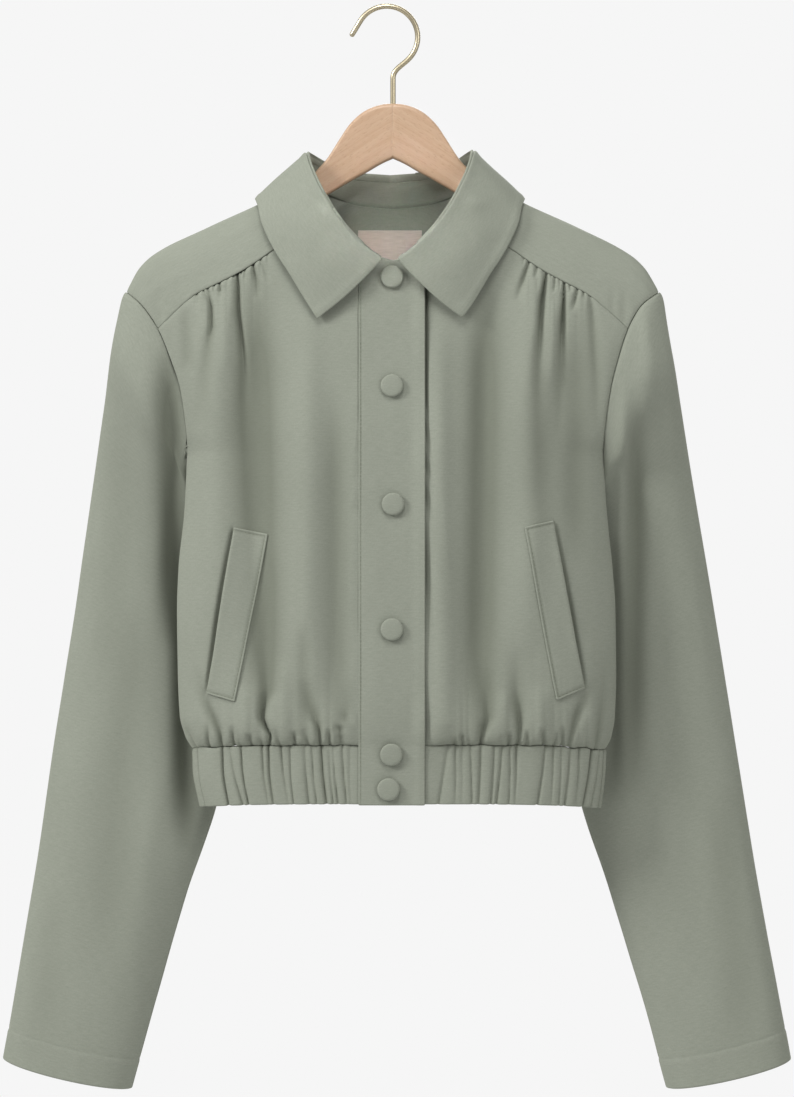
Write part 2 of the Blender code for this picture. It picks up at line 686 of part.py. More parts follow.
def build_placket(finish):
    """The placket, on top of both fronts and of the band."""
    x = np.linspace(-PLACKET_HALF, PLACKET_HALF, 5)
    top = FRONT_TOP.at(np.abs(x), "drop") + HALF_SEAM
    body_drop = top + FRONT_ROWS[:, None] * (BAND_TOP_DROP - top)
    band_drop = np.linspace(BAND_TOP_DROP, BAND_BOTTOM_DROP + 0.8, 4)[1:, None] + 0 * x
    drop = np.concatenate([body_drop, band_drop])
    points, normals = lay_on_front(x + 0 * drop, drop, CURVED_SEAM * 2 + PLACKET_WALL)
    return wall("placket", points, normals, PLACKET_WALL, finish)


def build_welt(name, corners, finish):
    """A welt between its four corners, on the front."""
    top_outer, top_inner, end_inner, end_outer = (np.array(corner, float) for corner in corners)
    down = np.linspace(0, 1, 9)[:, None, None]
    aside = np.linspace(0, 1, 4)[None, :, None]
    outer = top_outer + (end_outer - top_outer) * down
    inner = top_inner + (end_inner - top_inner) * down
    spot = outer + (inner - outer) * aside
    points, normals = lay_on_front(spot[..., 0], spot[..., 1], WELT_LIFT + WELT_WALL)
    return wall(name, points, normals, WELT_WALL, finish)


def build_label(finish):
    """The label on the inner side of the back yoke."""
    x = np.linspace(*LABEL_REACH, 5)
    drop = np.linspace(*LABEL_DROP, 4)[:, None]
    x = x + 0 * drop
    rise = np.sqrt(drop - SHOULDER.at(np.abs(x), "drop"))
    normals = over_normals(x, rise)
    return wall("neck_label", over(x, rise) - normals * (CLOTH + SEAM), normals, LABEL_WALL, finish)


def build_button(number, reach, drop, finish):
    """A cloth-covered button: a flat dome turned about the line that it faces."""
    centre, normal = lay_on_front(np.array([reach]), np.array([drop]), SEAM + CURVED_SEAM * 2 + PLACKET_WALL)
    profile = (
        (BUTTON_RADIUS * 0.8, 0.0),
        (BUTTON_RADIUS * 0.96, 0.6),
        (BUTTON_RADIUS, 1.6),
        (BUTTON_RADIUS * 0.95, 2.8),
        (BUTTON_RADIUS * 0.8, 3.6),
        (BUTTON_RADIUS * 0.45, BUTTON_RISE - 0.2),
    )
    sides = 20
    axis = normal[0]
    level = np.array([1.0, 0.0, 0.0])
    level -= axis * axis[0]
    level /= np.linalg.norm(level)
    upright = np.cross(axis, level)
    points = [centre[0], centre[0] + axis * BUTTON_RISE]
    for radius, rise in profile:
        for k in range(sides):
            angle = 2 * math.pi * k / sides
            outwards = level * math.cos(angle) + upright * math.sin(angle)
            points.append(centre[0] + axis * rise + outwards * radius)
    faces = []
    last = 2 + (len(profile) - 1) * sides
    for k in range(sides):
        following = (k + 1) % sides
        faces.append((0, 2 + following, 2 + k))
        faces.append((1, last + k, last + following))
        for ring in range(len(profile) - 1):
            low, high = 2 + ring * sides, 2 + (ring + 1) * sides
            faces.append((low + k, low + following, high + following, high + k))
    return mesh_object(f"button_{number}", points, faces, finish)


# --- Hanger ----------------------------------------------------------------------------------------


def build_arm(name, flank, finish):
    """One arm of the hanger, lofted from the mitre to a rounded end and bored for half the stem."""
    end_round = 8.0
    main = np.linspace(HALF_SEAM, HANGER_END - end_round, 18)
    tip = HANGER_END - end_round + end_round * np.sin(np.linspace(0, math.pi / 2, 5)[1:] * 0.93)
    reaches = np.concatenate([main, tip])
    sides = 18
    squareness = 2 / 2.8  # between an ellipse (1) and a box (0)
    angles = np.linspace(0, 2 * math.pi, sides, endpoint=False)
    rings = []
    for reach in reaches:
        top = float(ARM.at(reach, "top"))
        end = float(ARM.at(reach, "end"))
        over_end = max((reach - HANGER_END + end_round) / end_round, 0.0)
        size = math.sqrt(1 - over_end**2)
        y_size = float(ARM.at(reach, "half_thickness")) * size
        z_size = (end - top) / 2 * size
        x = CENTRE_X + flank * reach
        ridge = -RIDGE_FORWARD * (reach / RIDGE_REACH) ** 2
        cos, sin = np.cos(angles), np.sin(angles)
        y = ridge + y_size * np.sign(cos) * np.abs(cos) ** squareness
        z = -(top + end) / 2 + z_size * np.sign(sin) * np.abs(sin) ** squareness
        rings.append(np.stack([x + 0 * y, y, z], axis=-1))
    points = np.concatenate(rings)
    faces = [tuple(range(sides)), tuple(range(len(points) - sides, len(points)))]
    for ring in range(len(rings) - 1):
        for k in range(sides):
            near, far = ring * sides, (ring + 1) * sides
            following = (k + 1) % sides
            faces.append((near + k, near + following, far + following, far + k))
    arm = mesh_object(name, points, faces, finish)
    bore = arm.modifiers.new("bore for the stem", "BOOLEAN")
    bore.operation = "DIFFERENCE"
    bore.object = bpy.data.objects["bore_cutter"]
    return arm


def build_bore_cutter():
    """The guide that bores both arms; it isn't part of the object."""
    top, end = STEM_TOP_DROP, STEM_END_DROP + SEAM
    bpy.ops.mesh.primitive_cylinder_add(
        vertices=24, radius=BORE_RADIUS * MM, depth=(end - top) * MM,
        location=(CENTRE_X * MM, 0, -(top + end) / 2 * MM),
    )
    cutter = bpy.context.object
    cutter.name = "bore_cutter"
    cutter.hide_render = True
    cutter.display_type = "WIRE"


def build_hook(finish):
    """The wire hook: round over the rail, back under it and down into the hanger."""
    centre = np.array([HOOK_CENTRE_X, HOOK_WIRE - HOOK_RADIUS])
    angles = np.radians(np.linspace(176, -34, 36))  # from the tip over the top to the bend under the rail
    path = [centre + HOOK_RADIUS * np.array([math.cos(angle), math.sin(angle)]) for angle in angles]
    start, stem = path[-1], np.array([CENTRE_X, -STEM_TOP_DROP])
    leaving = 26.0 * np.array([math.sin(angles[-1]), -math.cos(angles[-1])])
    arriving = 14.0 * np.array([0, -1])
    for t in np.linspace(0, 1, 9)[1:]:
        bend = (2 * t**3 - 3 * t**2 + 1) * start + (t**3 - 2 * t**2 + t) * leaving
        path.append(bend + (3 * t**2 - 2 * t**3) * stem + (t**3 - t**2) * arriving)
    path.append(np.array([CENTRE_X, -STEM_END_DROP]))
    curve = bpy.data.curves.new("hanger_hook", "CURVE")
    curve.dimensions = "3D"
    curve.bevel_depth = HOOK_WIRE * MM
    curve.bevel_resolution = 3
    curve.use_fill_caps = True
    line = curve.splines.new("POLY")
    line.points.add(len(path) - 1)
    for point, (x, z) in zip(line.points, path):
        point.co = (x * MM, 0, z * MM, 1)
    curve.materials.append(finish)
    hook = bpy.data.objects.new("hanger_hook", curve)
    bpy.context.collection.objects.link(hook)


def main():
    clear_scene()
    cloth = material("sage twill", (0.292, 0.318, 0.258), 0.85)
    wood = material("lacquered beech", (0.60, 0.40, 0.24), 0.45)
    brass = material("champagne brass", (0.48, 0.39, 0.25), 0.3, 1.0)
    woven = material("woven label", (0.48, 0.41, 0.37), 0.8)

    build_front("front_left", -1, cloth)
    build_front("front_right", 1, cloth)
    build_back(cloth)
    build_yoke(cloth)
    build_band(cloth)
    build_sleeve("sleeve_left", -1, cloth)
    build_sleeve("sleeve_right", 1, cloth)
    build_collar_fall(cloth)
    build_collar_stand(cloth)
    build_placket(cloth)
    for name, corners in WELTS.items():
        build_welt(name, corners, cloth)
    for number, reach, drop in BUTTONS.values:
        build_button(int(number), reach, drop, cloth)
    build_label(woven)
    build_bore_cutter()
    build_arm("hanger_arm_left", -1, wood)
    build_arm("hanger_arm_right", 1, wood)
    build_hook(brass)


main()
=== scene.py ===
"""Looks of a cropped blouson jacket hanging on a beech hanger.

Sizes and places are in millimetres until a mesh is made. A "drop" is measured down from the frame's
origin, a "reach" sideways from the jacket's centre line (its sign is the side), and a "turn" runs round
one flank of the body: 0 at centre front, 0.5 at the side edge and 1 at centre back.
"""

import logging
import math
from collections.abc import Sequence
from dataclasses import dataclass, field
from enum import Enum, IntEnum

import bpy
import numpy as np
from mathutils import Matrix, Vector


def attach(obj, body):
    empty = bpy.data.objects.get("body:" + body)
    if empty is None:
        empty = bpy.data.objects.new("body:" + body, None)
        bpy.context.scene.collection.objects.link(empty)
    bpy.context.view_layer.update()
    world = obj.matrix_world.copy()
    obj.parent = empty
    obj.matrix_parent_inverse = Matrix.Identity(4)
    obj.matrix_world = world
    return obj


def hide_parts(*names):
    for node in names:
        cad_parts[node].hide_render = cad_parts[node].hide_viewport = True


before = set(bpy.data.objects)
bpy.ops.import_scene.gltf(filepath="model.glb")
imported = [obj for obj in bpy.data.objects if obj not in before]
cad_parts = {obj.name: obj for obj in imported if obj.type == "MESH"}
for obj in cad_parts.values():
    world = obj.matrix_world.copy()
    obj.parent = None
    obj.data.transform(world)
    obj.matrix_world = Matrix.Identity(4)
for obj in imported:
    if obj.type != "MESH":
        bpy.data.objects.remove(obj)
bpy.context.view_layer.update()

MM = 0.001
LOG = logging.getLogger("jacket")
Array = np.ndarray


class Flank(IntEnum):
    """A flank of the jacket as it is seen, with the sign of its reaches."""

    LEFT = -1
    RIGHT = 1

    @property
    def word(self) -> str:
        """The flank's word in a name."""
        return self.name.lower()


class Side(IntEnum):
    """The front or the back of the body."""

    FRONT = -1
    BACK = 1


class Slot(Enum):
    """The record's material slots."""

    CLOTH = "cloth"
    LABEL = "label"
    WOOD = "wood"
    HOOK = "hook"


class Held(Enum):
    """How a piece of cloth is held."""

    GATHERED = "gathered"
    HUNG = "hung"
    FOLDED = "folded"


class CollarLine(Enum):
    """The lines that the collar is built on."""

    NECK = "neck"
    ROLL = "roll"
    EDGE = "edge"


def eased_between(t: Array, near: Array, far: Array, slope_near: Array, slope_far: Array) -> Array:
    """A smooth curve from one value to the next.

    Args:
        t: 0 at the near end to 1 at the far end.
        near: the value at the near end.
        far: the value at the far end.
        slope_near: the slope at the near end, over the whole step.
        slope_far: the slope at the far end, over the whole step.

    Returns:
        The value at t.
    """
    return (
        (2 * t**3 - 3 * t**2 + 1) * near
        + (t**3 - 2 * t**2 + t) * slope_near
        + (3 * t**2 - 2 * t**3) * far
        + (t**3 - t**2) * slope_far
    )


class Table:
    """Rows of named columns, read smoothly and with no overshoot by the first column."""

    def __init__(self, columns: str, *rows: tuple[float, ...]) -> None:
        """Keeps the columns' names, parted by spaces, and the rows, sorted by the first column."""
        self.columns = columns.split()
        self.values = np.array(rows, float)

    def at(self, key: float | Array, name: str) -> Array:
        """Reads a column.

        Args:
            key: where to read it, as values of the first column.
            name: the column's name.

        Returns:
            The column's values there.
        """
        keys = self.values[:, 0]
        column = self.values[:, self.columns.index(name)]
        steps = np.diff(keys)
        slopes = np.diff(column) / steps
        before, after = slopes[:-1], slopes[1:]
        bent = before * after > 0
        total = np.where(bent, before + after, 1.0)
        inner = np.where(bent, 2 * before * after / total, 0.0)
        tangents = np.concatenate([slopes[:1], inner, slopes[-1:]])
        row = np.clip(np.searchsorted(keys, key) - 1, 0, len(steps) - 1)
        step = steps[row]
        t = np.clip((np.asarray(key, float) - keys[row]) / step, 0.0, 1.0)
        return eased_between(t, column[row], column[row + 1], step * tangents[row], step * tangents[row + 1])


def unit(vectors: Array) -> Array:
    """Vectors of length 1 along the last axis."""
    return vectors / np.maximum(np.linalg.norm(vectors, axis=-1, keepdims=True), 1e-12)


def smooth_step(value: Array, start: float, end: float) -> Array:
    """0 before start, 1 after end and a smooth rise between them."""
    t = np.clip((np.asarray(value, float) - start) / (end - start), 0.0, 1.0)
    return t * t * (3 - 2 * t)


def bell(value: Array, width: float | Array, power: float = 2) -> Array:
    """A soft bump: 1 where the value is 0, and near 0 beyond its width."""
    return np.exp(-(np.abs(value / width) ** power))


def run_along(points: Array) -> Array:
    """Distances along a row of points from its first."""
    return np.concatenate([[0], np.cumsum(np.linalg.norm(np.diff(points, axis=0), axis=-1))])


def soft_noise(x: Array, y: Array, seed: int) -> Array:
    """Smooth noise from -1 to 1 with one bump for each unit of x and y.

    Args:
        x: coordinates, in bumps.
        y: coordinates, in bumps.
        seed: picks the pattern.

    Returns:
        The noise's values.
    """
    x, y = np.broadcast_arrays(np.asarray(x, float), np.asarray(y, float))
    size = 97
    lattice = np.random.RandomState(seed).uniform(-1, 1, (size, size))
    column, row = np.floor(x).astype(int), np.floor(y).astype(int)
    tx, ty = x - column, y - row
    tx, ty = tx * tx * (3 - 2 * tx), ty * ty * (3 - 2 * ty)
    near, far = (
        lattice[line % size, column % size] * (1 - tx) + lattice[line % size, (column + 1) % size] * tx
        for line in (row, row + 1)
    )
    return near * (1 - ty) + far * ty


def spaced(length: float, step: float, fine: Sequence[float] = (0.4, 1.0, 2.0)) -> Array:
    """Shares from 0 to 1 along a length, closer together at both ends.

    Args:
        length: the length.
        step: the usual distance between points.
        fine: distances of extra points from each end.

    Returns:
        The shares.
    """
    inner = np.linspace(fine[-1] * 1.8, length - fine[-1] * 1.8, max(int(length / step), 2))
    ends = np.array((0.0, *fine))
    return np.concatenate([ends, inner, length - ends[::-1]]) / length


# --- Meshes ----------------------------------------------------------------------------------------


@dataclass
class Sheet:
    """A grid of points on a cloth's outer face, with what its material reads."""

    points: Array
    flat: Array
    crease: Array
    outwards: Array

    def normals(self, closed: bool = False) -> Array:
        """Unit normals on the side of `outwards`.

        Args:
            closed: whether the columns run round a tube.

        Returns:
            A normal for each point.
        """
        down = np.gradient(self.points, axis=0)
        if closed:
            along = np.roll(self.points, -1, axis=1) - np.roll(self.points, 1, axis=1)
        else:
            along = np.gradient(self.points, axis=1)
        normal = unit(np.cross(down, along))
        turned = (normal * self.outwards).sum(-1, keepdims=True) < 0
        return np.where(turned, -normal, normal)


def mesh_from(name: str, points: Array, faces: Array, flat: Array, crease: Array) -> bpy.types.Object:
    """Makes a smooth mesh object of quads.

    Args:
        name: the object's name.
        points: vertices in millimetres.
        faces: rows of four vertex indices.
        flat: the cloth's flat coordinates in millimetres, for each vertex.
        crease: 0 on open cloth to 1 in a deep crease, for each vertex; the cloth's material paints shade into
            its colour by it.

    Returns:
        The object, at the origin.
    """
    mesh = bpy.data.meshes.new(name)
    mesh.vertices.add(len(points))
    mesh.vertices.foreach_set("co", (np.asarray(points) * MM).astype(np.float32).ravel())
    mesh.loops.add(faces.size)
    mesh.loops.foreach_set("vertex_index", faces.astype(np.int32).ravel())
    mesh.polygons.add(len(faces))
    mesh.polygons.foreach_set("loop_start", np.arange(0, faces.size, 4, dtype=np.int32))
    mesh.update(calc_edges=True)
    layer = mesh.uv_layers.new(name="flat")
    layer.data.foreach_set("uv", (np.asarray(flat) * MM)[faces.ravel()].astype(np.float32).ravel())
    # The crease attribute, by which the cloth's material paints shade.
    attribute = mesh.attributes.new("crease", "FLOAT", "POINT")
    attribute.data.foreach_set("value", np.asarray(crease, np.float32).ravel())
    mesh.validate()
    mesh.shade_smooth()
    obj = bpy.data.objects.new(name, mesh)
    bpy.context.scene.collection.objects.link(obj)
    return obj


# How the hung cloth has settled out of true: x, z and radius of a place, and how far it has moved
# sideways and up. They are the left shoulder's tip, the collar's top on the right and its two tips.
SETTLED = (
    (-172, -216, 26, -3.6, 0.4), (67, -116, 13, 0.2, 1.5), (-52, -249, 15, -1.9, -0.3),
    (64, -249, 15, 1.9, 0.8),
)


def settled(points: Array) -> Array:
    """Moves points of the cloth to where it has settled.

    Args:
        points: the points.

    Returns:
        The moved points.
    """
    moved = points.copy()
    for x, z, radius, across, up in SETTLED:
        near = np.exp(-(((points[..., 0] - x) ** 2 + (points[..., 2] - z) ** 2) / radius**2))
        moved[..., 0] += near * across
        moved[..., 2] += near * up
    return moved


def shell(
    name: str, sheet: Sheet, wall: float | Array, closed: bool = False, active: Array | None = None
) -> bpy.types.Object:
    """Makes a closed wall with rounded edges from the cloth's outer face.

    Args:
        name: the object's name.
        sheet: the outer face.
        wall: the cloth's thickness.
        closed: whether the columns run round a tube.
        active: which cells of the grid are cloth, where some are cut away.

    Returns:
        The object.
    """
    rows, columns = sheet.points.shape[:2]
    size = rows * columns
    index = np.arange(size).reshape(rows, columns)
    wide = np.concatenate([index, index[:, :1]], axis=1) if closed else index
    quads = np.stack([wide[:-1, :-1], wide[1:, :-1], wide[1:, 1:], wide[:-1, 1:]], axis=-1)
    quads = quads.reshape(-1, 4) if active is None else quads[active]
    points, normals = settled(sheet.points.reshape(-1, 3)), sheet.normals(closed).reshape(-1, 3)
    spot = points[quads]
    across = np.cross(spot[:, 2] - spot[:, 0], spot[:, 3] - spot[:, 1])
    if (across * normals[quads[:, 0]]).sum() < 0:
        quads = quads[:, ::-1]
    edges = np.concatenate([quads[:, [k, (k + 1) % 4]] for k in range(4)])
    _, first, count = np.unique(np.sort(edges, axis=1), axis=0, return_index=True, return_counts=True)
    rim = edges[first[count == 1]]
    # The rim's points are pushed out sideways, away from the cloth, in a half circle.
    aside = unit(np.cross(points[rim[:, 1]] - points[rim[:, 0]], normals[rim[:, 0]]))
    push = np.zeros_like(points)
    np.add.at(push, rim[:, 0], aside)
    np.add.at(push, rim[:, 1], aside)
    push = unit(push)
    half = np.broadcast_to(np.asarray(wall, float), (rows, columns)).reshape(-1, 1) / 2
    layers = [points]
    for angle in np.radians((45, 90, 135)):
        layers.append(points - normals * half + (normals * math.cos(angle) + push * math.sin(angle)) * half)
    layers.append(points - 2 * normals * half)
    faces = [quads, quads[:, ::-1] + 4 * size]
    for layer in range(4):
        low, high = rim + layer * size, rim + (layer + 1) * size
        faces.append(np.stack([low[:, 1], low[:, 0], high[:, 0], high[:, 1]], axis=-1))
    faces = np.concatenate(faces)
    used, packed = np.unique(faces, return_inverse=True)
    flat, crease = np.tile(sheet.flat.reshape(-1, 2), (5, 1))[used], np.tile(sheet.crease.ravel(), 5)[used]
    return mesh_from(name, np.concatenate(layers)[used], packed.reshape(faces.shape), flat, crease)


def capped_tube(rings: int, count: int) -> Array:
    """Faces of a closed tube of rings, whose two middle points follow the rings' own.

    Args:
        rings: how many rings it has.
        count: how many points each ring has, an even number.

    Returns:
        Rows of four vertex indices.
    """
    index = np.arange(rings * count).reshape(rings, count)
    following = np.roll(index, -1, 1)
    sides = np.stack([index[:-1], following[:-1], following[1:], index[1:]], -1)
    first, last = rings * count, rings * count + 1
    caps = []
    for k in range(0, count, 2):
        caps.append((first, index[0, (k + 2) % count], index[0, k + 1], index[0, k]))
        caps.append((last, index[-1, k], index[-1, k + 1], index[-1, (k + 2) % count]))
    return np.concatenate([sides.reshape(-1, 4), caps])


# --- The form that the body's panels lie on --------------------------------------------------------


class Fold:
    """A crease (heights below 0) or a ridge (above 0) that runs down the cloth along a bent line."""

    def __init__(self, *points: tuple[float, float, float, float], power: float = 1.6) -> None:
        """Keeps drop, signed reach, half width and height from the top down, and how square it is."""
        self.line = Table("drop reach half height", *points)
        self.power = power

    def relief(self, reach: Array, drop: Array) -> Array:
        """How far the fold stands out, in millimetres, at some reaches and drops."""
        offset = reach - self.line.at(drop, "reach")
        return self.line.at(drop, "height") * bell(offset, self.line.at(drop, "half"), self.power)


def soft_fold(
    x: float, drop: float, x_end: float, end: float, half: float, half_end: float, height: float
) -> Fold:
    """A fold that fades at both ends.

    Args:
        x: the reach at the top.
        drop: the drop at the top.
        x_end: the reach at the end.
        end: the drop at the end.
        half: the half width at the top.
        half_end: the half width at the end.
        height: the height between the ends.

    Returns:
        The fold.
    """
    marks = Table("share reach half", (0, x, half), (1, x_end, half_end))
    spots = []
    for share, high in ((0.0, 0.0), (0.3, height), (0.7, height), (1.0, 0.0)):
        reach, width = float(marks.at(share, "reach")), float(marks.at(share, "half"))
        spots.append((drop + share * (end - drop), reach, width, high))
    return Fold(*spots, power=2.0)


def relief_of(folds: Sequence[Fold], reach: Array, drop: Array) -> tuple[Array, Array]:
    """How far some folds stand out together, in millimetres, and the depth of the creases alone."""
    made = [fold.relief(reach, drop) for fold in folds]
    return sum(made), -sum(np.minimum(height, 0) for height in made)


@dataclass(frozen=True)
class BodyForm:
    """The smooth form of the body, yoke and band, as it hangs on the hanger."""

    centre_x: float = 4.0
    side_y: float = -18.0
    front_power: float = 2.3
    ridge_forward: float = 14.0
    ridge_reach: float = 190.0
    fade: float = 60.0
    droop: float = 3.4
    underarm_drop: float = 368.0
    underarm_turn: float = 0.60
    yoke_drop: float = 262.0
    band_drop: float = 589.8
    hem_drop: float = 637.0
    sections: Table = Table(
        "drop left right front back tuck",
        (100, 240, 240, 44, 42, 2.2),
        (228, 232, 232, 49, 45, 2.2),
        (262, 221, 221, 51, 46, 2.2),
        (300, 200, 201, 53, 46, 2.0),
        (340, 175, 178, 56, 46, 1.6),
        (359, 165.5, 169, 57, 46, 1.5),
        (400, 167, 171, 58, 46, 1.4),
        (450, 171.5, 176, 60, 47, 1.4),
        (480, 172.8, 178, 61, 48, 1.4),
        (530, 172, 178.5, 62, 50, 1.4),
        (564, 170, 177, 61.5, 50, 1.4),
        (580, 165.5, 174, 60.4, 48, 1.4),
        (591, 160.8, 170, 59, 45, 1.5),
        (609, 160, 169, 58, 44, 1.5),
        (639, 154.4, 165.4, 57.5, 45, 1.5),
    )
    shoulder: Table = Table(
        "reach drop",
        (0, 112), (15, 113.5), (40, 122.5), (74, 139.5), (108, 157.2),
        (150, 176.3), (189.6, 197.4), (201.6, 208), (213.4, 227),
    )
    armhole: Table = Table(
        "drop left right back",
        (227, 213.3, 213.3, 213.3),
        (238, 200.5, 199, 205),
        (257, 188, 188, 193),
        (280, 178.6, 180.4, 183),
        (305, 170.6, 174.2, 175),
        (338, 166, 169.8, 165),
        (352, 165, 168.6, 160),
    )
    front_top: Table = Table(
        "reach drop",
        (0, 206), (28, 196.5), (46, 183), (56, 172.5), (60, 174.4), (92, 192),
        (120, 210.4), (137, 219.6), (156, 229.6), (169, 240), (188, 257),
    )
    back_neck: Table = Table("reach drop", (0, 160), (27, 157.5), (50, 150.5), (76, 140.5))

    def half_width(self, flank: Array, drop: Array) -> Array:
        """Half the body's width on a flank."""
        return np.where(flank < 0, self.sections.at(drop, "left"), self.sections.at(drop, "right"))

    def point(self, flank: Array, turn: Array, drop: Array) -> Array:
        """Points of the form.

        Args:
            flank: the flank.
            turn: where round it.
            drop: how far down.

        Returns:
            The points.
        """
        flank, turn, drop = np.broadcast_arrays(flank, turn, drop)
        angle = math.pi * turn
        front = turn <= 0.5
        power = np.where(front, self.front_power, self.sections.at(drop, "tuck"))
        sine = np.sin(angle)
        reach = self.half_width(flank, drop) * np.sign(sine) * np.abs(sine) ** (2 / power)
        depth = np.abs(np.cos(angle)) ** (2 / power)
        y_front = self.side_y - (self.sections.at(drop, "front") + self.side_y) * depth
        y_back = self.side_y + (self.sections.at(drop, "back") - self.side_y) * depth
        full = np.where(front, y_front, y_back)
        ridge = -self.ridge_forward * (reach / self.ridge_reach) ** 2
        below = np.maximum(drop - self.shoulder.at(np.abs(reach), "drop"), 0.0)
        y = ridge + (full - ridge) * np.sqrt(1 - np.exp(-below / self.fade))
        # The band droops to the sides, and the seam above it wanders a little.
        wander = soft_noise(flank * reach / 9 + 40, 0.5, 91) * bell(drop - self.band_drop, 9)
        droop = self.droop * (reach / 165) ** 4 * smooth_step(drop, 530, self.band_drop)
        return np.stack([self.centre_x + flank * reach, y, -drop - droop - wander], axis=-1)

    def turn_at(self, flank: Array, reach: Array, drop: Array, side: Side) -> Array:
        """The turn where the form has a reach.

        Args:
            flank: the flank.
            reach: distances from the centre line, without sign.
            drop: how far down.
            side: the front or the back.

        Returns:
            The turns.
        """
        power = self.front_power if side < 0 else self.sections.at(drop, "tuck")
        share = np.clip(reach / self.half_width(flank, drop), 0.0, 1.0)
        turn = np.arcsin(share ** (power / 2)) / math.pi
        return turn if side < 0 else 1 - turn

    def over(self, x: Array, rise: Array) -> Array:
        """Points by signed reach and rise, the root of the depth below the shoulder's top line.

        Args:
            x: signed reaches.
            rise: rises, negative on the front.

        Returns:
            The points.
        """
        x, rise = np.broadcast_arrays(x, rise)
        flank = np.where(x < 0, -1, 1)
        reach = np.abs(x)
        drop = self.shoulder.at(reach, "drop") + rise**2
        front, back = (self.turn_at(flank, reach, drop, side) for side in Side)
        return self.point(flank, np.where(rise < 0, front, back), drop)

    def armhole_turn(self, flank: Flank, drop: Array, side: Side) -> Array:
        """The turn of the armhole's seam, which rounds under the arm to the side seam.

        Args:
            flank: the flank.
            drop: how far down.
            side: the front or the back.

        Returns:
            The turns.
        """
        column = "back" if side > 0 else flank.word
        last = self.armhole.values[-1, 0]
        seam = self.turn_at(flank, self.armhole.at(drop, column), np.minimum(drop, last), side)
        share = np.clip((drop - last) / (self.underarm_drop - last), 0.0, 1.0)
        return seam + (self.underarm_turn - seam) * share**1.5

    def apart(self, flank: Flank, turn: Array, drop: Array, step: float) -> Array:
        """Distances round the form from a step of turn before to a step after."""
        before, after = (self.point(flank, turn + way * step, drop) for way in (-1, 1))
        return np.linalg.norm(after - before, axis=-1)

    def moved(self, flank: Flank, turn: Array, drop: Array, distance: Array) -> Array:
        """The turn moved by a distance along the form."""
        step = 0.002
        return turn + distance * 2 * step / self.apart(flank, turn, drop, step)

    def normal(self, flank: Array, turn: Array, drop: Array) -> Array:
        """Unit normals that point out of the body.

        Args:
            flank: the flank.
            turn: where round it.
            drop: how far down.

        Returns:
            The normals.
        """
        flank, turn, drop = np.broadcast_arrays(flank, turn, drop)
        around = self.point(flank, turn + 0.002, drop) - self.point(flank, turn - 0.002, drop)
        down = self.point(flank, turn, drop + 0.5) - self.point(flank, turn, drop - 0.5)
        return unit(np.cross(around, down)) * -flank[..., None]

    def over_normal(self, x: Array, rise: Array) -> Array:
        """Unit normals of `over` that point out of the body.

        Args:
            x: signed reaches.
            rise: rises, negative on the front.

        Returns:
            The normals.
        """
        along = self.over(x + 0.5, rise) - self.over(x - 0.5, rise)
        down = self.over(x, rise + 0.05) - self.over(x, rise - 0.05)
        return unit(np.cross(along, down))


